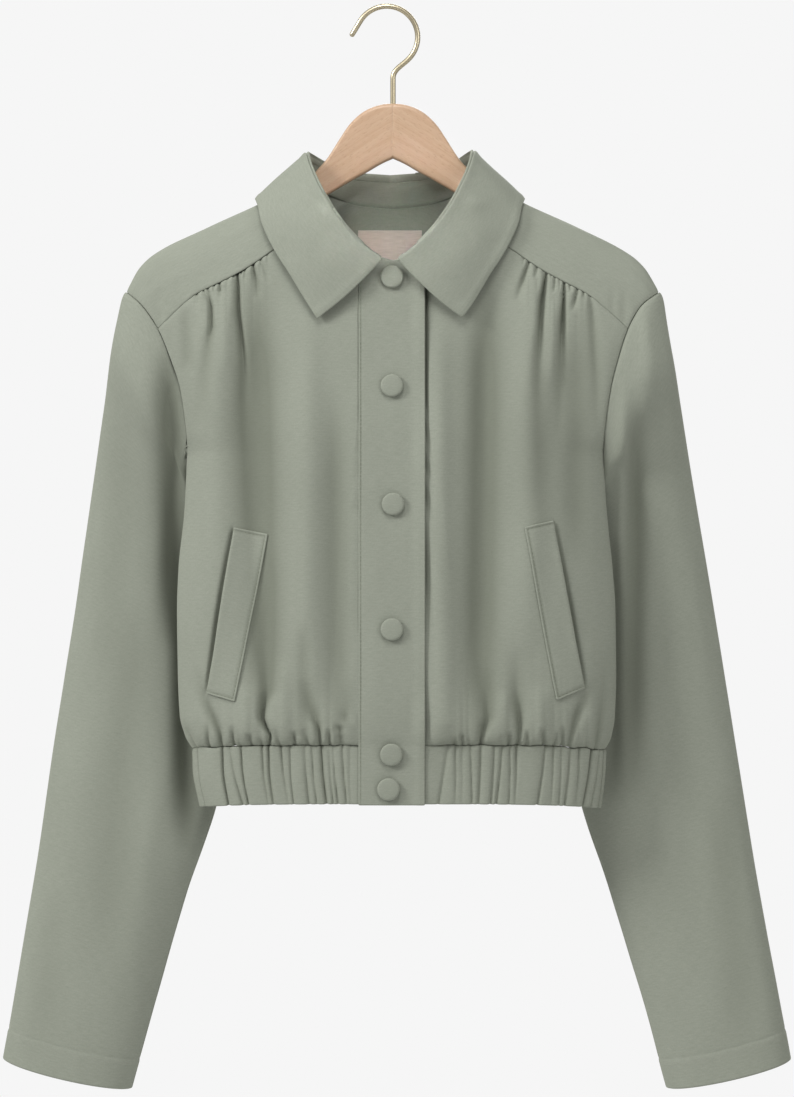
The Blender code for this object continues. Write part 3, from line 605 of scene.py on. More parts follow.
@dataclass(frozen=True)
class BodyFolds:
    """The folds of the fronts and the back: drop, signed reach, half width and height down each line."""

    form: BodyForm
    # Gathers that hang from the front yokes: they pinch shut at the seam, and the long ones open below it.
    yoke: tuple = (
        ((229.5, -155.4, 1.1, -1.8), (233, -155.4, 1.3, -1.4), (239, -155, 1.6, 0)),
        ((226, -150.6, 0.9, -2.2), (231, -149, 1.1, -1.6), (237, -147, 1.3, 0)),
        ((224.5, -147.2, 1, -2.2), (231, -146.2, 1.2, -3.6), (241, -145, 1.6, -5.6),
         (253, -144.8, 2.2, -5.4), (268, -146.4, 4, -3.6), (297, -150, 6.5, -2.4), (340, -152, 9, 0)),
        ((222, -142.4, 0.8, -1.8), (226, -142.8, 0.9, -1), (231, -143.4, 1.1, 0)),
        ((219.5, -138.6, 1, -2.4), (225, -137.8, 1.2, -2.8), (234, -138.4, 1.6, 0)),
        ((216.5, -132.4, 0.8, -1.4), (222, -132, 1, 0)),
        ((214.6, -127.6, 0.8, -2.4), (220, -126, 1, 0)),
        ((213.2, -124.6, 1.2, -4), (221, -124.2, 1.6, -6.6), (240, -124, 1.9, -7.6), (262, -122, 2.2, -6.6),
         (285, -120.2, 3.4, -4.4), (313, -119.6, 7, -3.6), (345, -118, 11, -3.2), (405, -114, 14, -2),
         (480, -110, 14, 0)),
        ((211.6, -121.4, 0.8, -2.2), (218, -122.6, 1, 0)),
        ((209.6, -118.8, 0.9, -2), (214, -118.6, 1.1, -1.2), (219, -118, 1.2, 0)),
        ((205, -112, 1.1, -3), (211, -111.2, 1.4, -3.8), (221, -109, 2, -2.6), (234, -108, 3, 0)),
        ((201.5, -106, 1, -2), (208, -103.4, 1.4, -1.8), (220, -99.6, 2.2, 0)),
        ((198, -100.6, 0.8, -1.2), (204, -99.6, 1, 0)),
        ((200, 104.8, 0.9, -1.6), (206, 103.4, 1.1, 0)),
        ((203, 108.8, 1.1, -3.2), (212, 106, 1.6, -4), (223, 102.6, 2.4, -2.4), (238, 98.6, 4, 0)),
        ((207, 115.2, 1, -2.6), (212, 114, 1.2, -1.8), (218, 113, 1.3, 0)),
        ((209.6, 120.2, 0.8, -2), (216, 121.2, 0.9, 0)),
        ((211.6, 123, 1.1, -4.4), (221, 121.4, 1.5, -6.8), (237, 119.2, 2.3, -8.2), (250, 118.2, 2.3, -7),
         (268, 117.2, 3.4, -4.6), (289, 116, 5, -3.4), (320, 116, 9, -3), (365, 118, 14, -2.6),
         (440, 118, 16, 0)),
        ((213.4, 126.2, 0.7, -1.6), (218, 126.4, 0.9, 0)),
        ((215, 129.4, 0.9, -2.4), (221, 129, 1.1, -2), (229, 128.6, 1.4, 0)),
        ((217.6, 133.2, 0.7, -1.6), (223, 133.4, 0.9, 0)),
        ((219.6, 137, 1, -4.2), (233, 136.8, 1.4, -6.6), (249, 136, 2.1, -7.6), (262, 135.4, 2.6, -5.6),
         (282, 135, 4.2, -3.4), (310, 134, 6.5, -2.2), (355, 133, 9, 0)),
        ((222, 141.6, 0.7, -1.6), (228, 141.4, 0.9, 0)),
        ((225.4, 147.4, 1, -3), (233, 145.6, 1.4, -3.6), (244, 143.8, 1.9, 0)),
        ((228.4, 152.4, 0.8, -2.2), (236, 152.6, 1.1, 0)),
        ((230, 157.2, 1.4, -1.2), (246, 159.6, 2.8, -2.8), (275, 162, 4.2, -2.8), (310, 163.6, 5, -1.8),
         (345, 163, 6, 0)),
    )
    # Gathers that the band holds: long soft troughs that hook round and pinch shut at its seam.
    band: tuple = (
        ((571, -147, 2, 0), (583, -147.4, 1.6, -3.2), (591, -146.6, 1.4, -3.4)),
        ((570, -166, 3, 0), (580, -161.4, 1.8, -2.4), (591, -157, 1.3, -2.6)),
        ((526, -156, 5, 0), (545, -152, 4.6, -2), (557, -148, 4.4, -3.6), (570, -141.6, 3.4, -5.2),
         (581, -137.6, 2.2, -5), (591, -136.8, 1.4, -3)),
        ((584, -127.4, 1.2, 0), (591, -126.6, 1, -1.8)),
        ((583, -123, 1.1, 0), (591, -121.6, 0.9, -1.8)),
        ((583, -105.4, 1.2, 0), (588, -105.2, 1.1, -2.4), (591, -105, 1, -2.6)),
        ((430, -101, 9, 0), (505, -101.6, 8.5, -4.2), (545, -100.8, 6, -6.4), (557, -103.2, 3.4, -8.2),
         (567, -104.2, 2.3, -9.4), (575, -101.2, 1.9, -8), (582, -97.6, 1.5, -5.8),
         (591, -99.4, 1.3, -3.6)),
        ((574, -94.4, 2.2, 0), (583, -92, 1.5, -2.2), (591, -90.2, 1.1, -2.6)),
        ((575, -71.4, 2.2, 0), (583, -69.4, 1.5, -2.2), (591, -67.6, 1.1, -2.4)),
        ((536, -69, 7, 0), (557, -65, 5, -3.4), (569, -61.6, 3.6, -5.2), (578, -59, 2.2, -5.4),
         (591, -58.2, 1.3, -3.4)),
        ((536, -34, 4, 0), (557, -36, 3.4, -2), (570, -40, 2.2, -3.6), (579, -43.4, 1.6, -4.8),
         (586, -41.8, 1.3, -3.8), (591, -41, 1.2, -2.8)),
        ((572, 45.6, 1.8, 0), (582, 47.6, 1.5, -2.8), (591, 49.6, 1.2, -2.8)),
        ((583, 60.2, 1.1, 0), (591, 60, 1, -2)),
        ((526, 75, 7, 0), (548, 76.4, 5.4, -3), (566, 76.2, 4, -5.2), (577, 72.6, 2.7, -6),
         (585, 70.4, 1.7, -5), (591, 69.6, 1.3, -3.6)),
        ((586, 86.6, 1, 0), (591, 86.4, 0.9, -1.4)),
        ((510, 99, 9, 0), (545, 98.6, 6.4, -3), (560, 100.2, 4.4, -5.2), (572, 100.8, 2.7, -6.4),
         (582, 100.4, 1.8, -5.2), (591, 99, 1.3, -3.6)),
        ((586, 112, 1, 0), (591, 112.2, 0.9, -1.2)),
        ((577, 131, 1.5, 0), (584, 129.6, 1.3, -2.2), (591, 127.8, 1.1, -2.6)),
        ((533, 158, 6, 0), (553, 151.6, 4.6, -2.8), (566, 146, 3.6, -4.6), (577, 142.8, 2.3, -4.4),
         (591, 139.6, 1.3, -2.8)),
        ((585, 147.6, 1, 0), (591, 148, 0.9, -1.8)),
        ((583, 154, 1.2, 0), (591, 154.6, 1, -2)),
        ((500, 172, 7, 0), (540, 169.4, 6, -1.8), (562, 166.6, 4.6, -3.4), (580, 163.6, 3, -4),
         (591, 161.8, 1.6, -3)),
        ((572, -127.4, 2, 0), (582, -127.4, 1.5, -3.2), (591, -126.6, 1.3, -3.2)),
        ((579, -114, 2, 0), (583, -114, 1.5, -3), (591, -112.6, 1.3, -3)),
        ((577, -78.5, 2, 0), (584, -78.5, 1.5, -3.4), (591, -79, 1.3, -3.4)),
        ((575, -51, 2, 0), (585, -51, 1.5, -3), (591, -50.2, 1.3, -3)),
        ((573, 38.4, 2, 0), (582, 38.4, 1.5, -3.4), (591, 37.6, 1.3, -3.4)),
        ((580, 54.6, 2, 0), (583, 54.6, 1.5, -2.6), (591, 55.4, 1.3, -2.6)),
        ((578, 92, 2, 0), (584, 92, 1.5, -3.2), (591, 92.6, 1.3, -3.2)),
        ((576, 107, 2, 0), (585, 107, 1.5, -2.8), (591, 106, 1.3, -2.8)),
        ((574, 119, 2, 0), (582, 119, 1.5, -3.4), (591, 120.6, 1.3, -3.4)),
        ((572, 135, 2, 0), (583, 135, 1.5, -3), (591, 134.4, 1.3, -3)),
    )
    # The pocket mouths, which gape a little beside the welts' open edges.
    mouths: tuple = (
        ((414, -127.6, 1.2, 0), (424, -129.4, 1.3, -3.4), (500, -142, 1.7, -5.4), (540, -148.2, 1.3, -3.6),
         (550, -149.8, 1.2, 0)),
        ((410, 128.8, 1.2, 0), (420, 130.6, 1.3, -3.4), (490, 144, 1.7, -5.4), (536, 152, 1.3, -3.6),
         (546, 153.8, 1.2, 0)),
    )
    # Long soft folds: reach and drop at the top and the end, half width at each, and height.
    front_soft: tuple = (
        (-143, 214, -141, 520, 13, 15, 5.4), (-108, 205, -106, 560, 13, 15, -7),
        (-68, 230, -69, 590, 13, 13, 5.4), (-45, 300, -43, 600, 9, 10, -3.6),
        (-165, 238, -163, 296, 4, 6, -1.8), (-132.6, 226, -133, 300, 4, 6, 1.6),
        (-71, 490, -70, 590, 6, 6, -2.2), (-118, 540, -117, 590, 8, 7, 2.4), (-88, 520, -88, 592, 6, 6, 2),
        (36, 236, 40, 620, 10, 11, 5.4), (76, 200, 69, 600, 13, 13, -7.4),
        (112, 206, 108, 520, 13, 14, 5.4), (149, 236, 148, 450, 11, 12, -3.2),
        (128.2, 230, 127, 305, 3.4, 5, 1.4), (88, 545, 85, 592, 6, 5, 2), (118, 540, 116, 592, 8, 7, 2.2),
        (156, 500, 158, 585, 7, 6, 2), (128, 380, 130, 580, 20, 22, 1.8),
    )
    back_soft: tuple = (
        (-128, 266, -118, 430, 10, 14, -2.6), (-96, 262, -92, 592, 12, 15, 3.4),
        (-52, 300, -56, 592, 11, 13, -3.2), (-18, 268, -24, 470, 12, 16, 2.2),
        (24, 330, 22, 594, 12, 12, -2.8), (58, 264, 62, 592, 12, 14, 3.2), (92, 280, 88, 592, 10, 12, -3.2),
        (124, 270, 116, 420, 10, 13, 2),
    )

    def held(self, side: Side) -> tuple[list[Fold], list[Fold]]:
        """The gathers at the yoke and at the band; the back's are drawn with a fixed seed.

        Args:
            side: the front or the back.

        Returns:
            The two lists, each from -X to +X.
        """
        if side == Side.FRONT:
            return [Fold(*line) for line in self.yoke], [Fold(*line) for line in self.band]
        draw = np.random.RandomState(41)
        yoke, band = self.form.yoke_drop, self.form.band_drop
        over, under = [], []
        for start, stop in ((-142, -62), (62, 142)):
            x = float(start)
            while x < stop:
                length, half, lean = draw.uniform(10, 75), draw.uniform(1.2, 1.8), draw.uniform(-6, 6)
                deep = -1.6 - length / 13
                over.append(Fold(
                    (yoke, x, half, deep * 0.5), (yoke + 0.2 * length, x, half * 1.2, deep),
                    (yoke + length, x + lean, half + length / 12, 0),
                ))
                x += draw.uniform(4.5, 13)
        x = -140.0
        while x < 140:
            length, half = draw.uniform(12, 60), draw.uniform(1.2, 1.6)
            lean, hook = draw.uniform(-7, 7), draw.uniform(-3, 3)
            deep = -1.8 - length / 11
            under.append(Fold(
                (band - length, x + lean, half + length / 10, 0),
                (band - 0.35 * length, x + hook, half * 1.6, deep),
                (band - 0.1 * length, x - 0.3 * hook, half, deep * 0.8), (band, x, half, deep * 0.5),
            ))
            x += draw.uniform(6, 19)
        return over, under

    def loose(self, side: Side) -> list[Fold]:
        """The long soft folds of the fronts, with the pocket mouths, or of the back.

        Args:
            side: the front or the back.

        Returns:
            The folds.
        """
        if side == Side.BACK:
            return [soft_fold(*row) for row in self.back_soft]
        return [soft_fold(*row) for row in self.front_soft] + [Fold(*line) for line in self.mouths]


@dataclass(frozen=True)
class Cloth:
    """The walls and edges of the jacket's cloth."""

    panel_wall: float = 1.1
    seam_gap: float = 0.03
    seam_sink: float = 0.4
    seam_reach: float = 1.0
    blouse: float = 4.0
    blouse_peak: float = 16.0

    def seam_dip(self, distance: Array) -> Array:
        """How far the cloth turns in at a seam."""
        return -self.seam_sink * bell(distance, self.seam_reach)

    def inset(self, wall: float) -> float:
        """How far a panel's edge stands back from its seam line, so that two rounded edges meet."""
        return wall / 2 + self.seam_gap

    def blousing(self, above: Array) -> Array:
        """How far the body bulges over the band, by the distance above its seam."""
        share = np.maximum(above, 0.0) / self.blouse_peak
        return self.blouse * share * np.exp(1 - share)


@dataclass
class Body:
    """The fronts, the back, the yoke and the waistband."""

    form: BodyForm
    folds: BodyFolds
    cloth: Cloth
    row_step: float = 3.0
    yoke_neck: float = 56.0
    yoke_ridge: float = 76.0
    yoke_back: float = 64.4
    placket_edges: tuple[float, float] = (-27.2, 25.4)
    placket_step: float = 1.75
    placket_gap: float = 5.0
    held: dict[Side, tuple[list[Fold], list[Fold]]] = field(default_factory=dict, init=False)
    loose: dict[Side, list[Fold]] = field(default_factory=dict, init=False)

    def __post_init__(self) -> None:
        """Reads the folds once."""
        for side in Side:
            self.held[side] = self.folds.held(side)
            self.loose[side] = self.folds.loose(side)

    def relief(self, side: Side, flank: Array, turn: Array, drop: Array) -> tuple[Array, Array]:
        """How far the cloth of the fronts or the back stands out of the form.

        Args:
            side: the front or the back.
            flank: the flank.
            turn: where round it.
            drop: how far down.

        Returns:
            Heights, and the depth of the creases alone.
        """
        reach = self.form.point(flank, turn, drop)[..., 0] - self.form.centre_x
        over, under = self.held[side]
        height, depth = relief_of([*over, *under, *self.loose[side]], reach, drop)
        squareness = np.sin(math.pi * turn) ** 6
        above = self.form.band_drop - drop
        height = (height + self.puffs(side, reach, drop)) * (1 - 0.6 * squareness)
        # The fronts blouse over the band only beside the placket, which holds them back.
        beside = np.where(reach < 0, smooth_step(-reach, 26, 42), smooth_step(reach, 26, 34))
        share = np.where(side < 0, 0.12 + 0.88 * beside, 1.0) * (1 - 0.8 * squareness)
        height = height + self.cloth.blousing(above) * share
        height = height + 0.7 * soft_noise(reach / 46 + 9, drop / 90, 3 + side) * smooth_step(above, 0, 40)
        return height + 0.22 * soft_noise(reach / 13 + 5, drop / 34, 12 + side), depth

    def beside_placket(self, reach: Array) -> Array:
        """How the fronts meet the placket: level with its sewn edge, and sunk beside its free edge.

        Args:
            reach: signed reaches.

        Returns:
            Heights.
        """
        outside = np.where(reach < 0, self.placket_edges[0] - reach, reach - self.placket_edges[1])
        sewn = self.placket_step * bell(np.maximum(outside, 0), 22) * smooth_step(outside, -0.2, 0.9)
        return np.where(reach < 0, sewn, -self.placket_gap * bell(outside - 0.9, 1.5))

    def puffs(self, side: Side, reach: Array, drop: Array) -> Array:
        """How far the cloth puffs out between neighbouring gathers, beside the seam that holds them.

        Args:
            side: the front or the back.
            reach: signed reaches.
            drop: drops.

        Returns:
            Heights.
        """
        total = np.zeros(np.broadcast(reach, drop).shape)
        over, under = self.held[side]
        top = self.form.front_top.at(np.abs(reach), "drop") if side < 0 else self.form.yoke_drop
        below, above = drop - top, self.form.band_drop - drop
        for folds, end, away, fade in ((over, 0, below, 22.0), (under, -1, above, 24.0)):
            places = np.array(sorted(fold.line.values[end, 1] for fold in folds))
            gap = np.clip(np.searchsorted(places, reach), 1, len(places) - 1)
            width = places[gap] - places[gap - 1]
            share = np.clip((reach - places[gap - 1]) / width, 0.0, 1.0)
            puff = np.minimum(0.16 * width, 1.7) * np.sin(math.pi * share) ** 0.7
            near = np.maximum(away, 0.0)
            total += np.where(width < 34, puff, 0.0) * np.exp(-near / fade) * smooth_step(near, -1.0, 4.0)
        return total

    def fill(
        self, flank: Flank, side: Side, top: tuple[Array, Array], rows: Array, columns: Array
    ) -> tuple[Array, Array]:
        """Turns and drops of a panel, from its top edge down to the band.

        Args:
            flank: the flank.
            side: the front or the back.
            top: turns and drops along the top edge.
            rows: shares of the way down.
            columns: shares of the way from the centre to the seam.

        Returns:
            The turns and the drops.
        """
        form, inset = self.form, self.cloth.inset(self.cloth.panel_wall)

        def seam(drop: Array) -> Array:
            """The turn of the panel's outer edge."""
            turn = form.armhole_turn(flank, drop, side)
            return form.moved(flank, turn, drop, side * inset)

        middle = 0.0 if side < 0 else 1.0
        top_turn, top_drop = top
        end_drop = form.band_drop - inset
        drop = top_drop + rows[:, None] * (end_drop - top_drop)
        top_share = (top_turn - middle) / (seam(top_drop) - middle)
        first = (top_turn[0] - middle) / (seam(np.array(end_drop)) - middle)
        end_share = first + (1 - first) * columns
        share = top_share + rows[:, None] ** 0.8 * (end_share - top_share)
        lower = smooth_step(rows, 0.0, 0.08)[:, None]
        near = share**6 * lower + share * (1 - lower)
        # Away from the seam the columns follow its line evened out down the panel.
        smooth = np.mean([seam(drop + shift) for shift in np.linspace(-45, 45, 11)], axis=0)
        return middle + share * (smooth - middle) + near * (seam(drop) - smooth), drop

    def panel(self, side: Side, flank: Flank, turn: Array, drop: Array, dips: Array) -> Sheet:
        """A panel's sheet from its turns and drops; it lies flat where the outer seam holds it.

        Args:
            side: the front or the back.
            flank: the flank.
            turn: where round it.
            drop: how far down.
            dips: how far the cloth turns in at the seams above and below.

        Returns:
            The sheet.
        """
        height, depth = self.relief(side, flank, turn, drop)
        smooth = self.form.point(flank, turn, drop)
        step = 0.004
        aside = np.abs(turn[:, -1:] - turn) * (self.form.apart(flank, turn, drop, step) / (2 * step))
        height = height * (1 - 0.9 * bell(aside, 6))
        if side == Side.FRONT:
            beside = self.beside_placket(smooth[..., 0] - self.form.centre_x)
            # The strip sunk beside the placket's free edge also counts as crease depth, so it gets a painted
            # shadow.
            height, depth = height + beside, depth + np.maximum(-beside, 0.0)
        normal = self.form.normal(flank, turn, drop)
        points = smooth + normal * (height + dips + self.cloth.seam_dip(aside))[..., None]
        flat = np.stack([flat_width(smooth) * flank, -drop], axis=-1)
        # The crease attribute carries the creases' depth, by which the material paints shade into the cloth.
        return Sheet(points, flat, np.clip(depth / 5.0, 0, 1), normal)

    def front(self, flank: Flank) -> bpy.types.Object:
        """One front, from the centre to the side seam.

        Args:
            flank: which front.

        Returns:
            The piece.
        """
        form, cloth, neck = self.form, self.cloth, self.yoke_neck
        inset = cloth.inset(cloth.panel_wall)
        end_reach = form.front_top.values[-1, 0] - inset
        edge = end_reach - np.array((4.0, 2.0, 1.0, 0.4, 0.0))
        # The columns stand closest beside the placket and where the gathers hang.
        zones = ((0.2, 24, 2.4), (24, 32, 0.6), (32, neck, 1.1), (neck, 96, 1.1), (96, 160, 0.8))
        reach = np.concatenate([
            *(np.linspace(near, far, int((far - near) / step), endpoint=False) for near, far, step in zones),
            np.linspace(160, edge[0], 14, endpoint=False),
            edge,
        ])
        top_drop = form.front_top.at(reach, "drop") + inset
        top = form.turn_at(flank, reach, top_drop, Side.FRONT), top_drop
        rows = self.rows(form.band_drop - 230, 62, 40)
        turn, drop = self.fill(flank, Side.FRONT, top, rows, reach / end_reach)
        seamed = smooth_step(reach, neck, neck + 2)
        dips = cloth.seam_dip(drop - top_drop) * seamed + cloth.seam_dip(drop[-1:] - drop)
        sheet = self.panel(Side.FRONT, flank, turn, drop, dips)
        return shell(f"jacket_front_{flank.word}", sheet, cloth.panel_wall)

    def rows(self, length: float, top_zone: float, end_zone: float) -> Array:
        """Shares down a panel, closer together in the gathers at both ends.

        Args:
            length: the panel's length.
            top_zone: the length of the gathers at the top.
            end_zone: the length of the gathers at the band.

        Returns:
            The shares.
        """
        between = length - top_zone - end_zone
        top = np.linspace(0, top_zone, int(top_zone / 1.3))
        middle = np.linspace(top_zone, length - end_zone, int(between / self.row_step))
        end = np.linspace(length - end_zone, length, int(end_zone / 1.1))
        edge = (length - 0.8, length - 0.35, length)
        return np.unique(np.concatenate([(0.0, 0.35, 0.8), top[1:], middle[1:], end[1:-1], edge])) / length

    def back(self) -> bpy.types.Object:
        """The back, from side seam to side seam under the yoke.

        Returns:
            The piece.
        """
        form, cloth = self.form, self.cloth
        inset = cloth.inset(cloth.panel_wall)
        columns = np.concatenate([[0.0], spaced(190, 1.7)[4:]])
        top_drop = form.yoke_drop + inset + 0 * columns
        rows = self.rows(form.band_drop - form.yoke_drop, 50, 50)
        halves = []
        for flank in Flank:
            seam = form.armhole_turn(flank, top_drop, Side.BACK)
            top = 1 + columns * (form.moved(flank, seam, top_drop, inset) - 1), top_drop
            turn, drop = self.fill(flank, Side.BACK, top, rows, columns)
            dips = cloth.seam_dip(drop - top_drop) + cloth.seam_dip(drop[-1:] - drop)
            halves.append(self.panel(Side.BACK, flank, turn, drop, dips))
        left, right = halves
        joined = {
            name: np.concatenate([getattr(left, name)[:, ::-1], getattr(right, name)[:, 1:]], axis=1)
            for name in ("points", "flat", "crease", "outwards")
        }
        return shell("jacket_back", Sheet(**joined), cloth.panel_wall)


def flat_width(points: Array) -> Array:
    """Distances along each row of a grid of points from its first column."""
    steps = np.linalg.norm(np.diff(points, axis=1), axis=-1)
    return np.concatenate([np.zeros((len(points), 1)), np.cumsum(steps, axis=1)], axis=1)


@dataclass
class Yoke:
    """The yoke, over both shoulders and across the back.

    A shoulder's length runs from the neck to its tip, and its slope from the ridge to the front seam.
    """

    body: Body
    step: float = 2.2
    length: float = 150
    slope: float = 100

    def make(self) -> bpy.types.Object:
        """Builds the yoke as one sheet with the neck cut out.

        Returns:
            The piece.
        """
        form, cloth = self.body.form, self.body.cloth
        inset = cloth.inset(cloth.panel_wall)
        tongue = spaced(self.length, self.step)
        middle = np.linspace(-1, 1, 61)[1:-1]
        b = spaced(self.slope, self.step, (0.5, 1.1, 2.0))
        front_rows = np.unique(b)[:0:-1]
        back_rows = np.unique(b)
        sides = np.concatenate([-np.ones(len(front_rows)), np.ones(len(back_rows))])
        b = np.concatenate([front_rows, back_rows])
        flank = np.concatenate([-np.ones(len(tongue)), np.zeros(len(middle)), np.ones(len(tongue))])
        share = np.concatenate([tongue[::-1], middle, tongue])
        x, rise = self.spots(flank[None, :], share[None, :], sides[:, None], b[:, None], inset)
        points, normal = form.over(x, rise), form.over_normal(x, rise)
        aside = (1 - share[None, :]) * self.length + 200 * (flank[None, :] == 0)
        end = (1 - b[:, None] ** 2) * 90
        height = cloth.seam_dip(end) + cloth.seam_dip(aside) + 0.0 * x
        height = height + 0.35 * soft_noise(x / 30, rise * 1.3, 21)
        near = np.exp(-np.maximum(end - 1.5, 0) / 6) * smooth_step(np.abs(x), 70, 90)
        height = height + 0.5 * soft_noise(x / 5.5, 0.4 + 0 * x, 22) * near
        for reach, drop, half, depth in ((185, 246, 4, -1.0), (-186, 247, 4, -0.9), (176, 238, 3, -0.7)):
            away = (x - reach) ** 2 / half**2 + (points[..., 2] + drop) ** 2 / (4 * half) ** 2
            height = height + depth * np.exp(-away) * (rise < 0)
        flat = np.stack([x, rise * 12], axis=-1)
        sheet = Sheet(points + normal * height[..., None], flat, np.zeros(x.shape), normal)
        active = np.ones((len(b) - 1, len(share) - 1), bool)
        active[: len(front_rows), len(tongue) - 1 : len(share) - len(tongue)] = False
        return shell("jacket_yoke", sheet, cloth.panel_wall, active=active)

    def spots(self, flank: Array, share: Array, side: Array, b: Array, inset: float) -> tuple[Array, Array]:
        """Signed reaches and rises of points of the yoke.

        Args:
            flank: -1, 1, or 0 in the middle of the back.
            share: from the neck (0) to the armhole (1), or across the back's neck (-1 to 1).
            side: -1 on the front and 1 on the back.
            b: from the ridge or the neck (0) to the seam (1).
            inset: how far the edges stand back from the seams.

        Returns:
            The reaches and the rises.
        """
        form, body = self.body.form, self.body
        flank, share, side, b = np.broadcast_arrays(flank, share, side, b)
        blend = b * b
        # The middle of the back.
        x_mid = share * (body.yoke_ridge + (body.yoke_back - body.yoke_ridge) * blend)
        neck = form.back_neck.at(np.abs(share) * body.yoke_ridge, "drop")
        drop_mid = neck + (form.yoke_drop - inset - neck) * blend
        # The tongues.
        tip_drop, tip_reach = form.armhole.values[0, :2]
        front_reach, front_drop = form.front_top.values[-1]
        back_reach = float(form.armhole.at(form.yoke_drop, "back"))
        front = side < 0
        neck_reach = np.where(front, body.yoke_neck, body.yoke_back)
        seam_reach = np.where(front, front_reach, back_reach)
        seam_drop = np.where(front, front_drop, form.yoke_drop)
        reach_end = neck_reach + share * (seam_reach - neck_reach)
        drop_end = np.where(front, form.front_top.at(reach_end, "drop"), form.yoke_drop) - inset
        reach_top = body.yoke_ridge + share * (tip_reach - body.yoke_ridge)
        drop_top = form.shoulder.at(reach_top, "drop")
        reach = reach_top + (reach_end - reach_top) * blend
        drop = drop_top + (drop_end - drop_top) * blend
        along = tip_drop + (seam_drop - tip_drop) * blend
        side_column = np.where(flank < 0, form.armhole.at(along, "left"), form.armhole.at(along, "right"))
        armhole = np.where(front, side_column, form.armhole.at(along, "back"))
        reach = reach + share**4 * (armhole - tip_reach - (seam_reach - tip_reach) * blend - inset)
        middle = flank == 0
        x = np.where(middle, x_mid, flank * reach)
        drop = np.where(middle, drop_mid, drop)
        below = np.maximum(drop - form.shoulder.at(np.abs(x), "drop"), 0.0)
        return x, np.where(middle, 1, side) * np.sqrt(below)


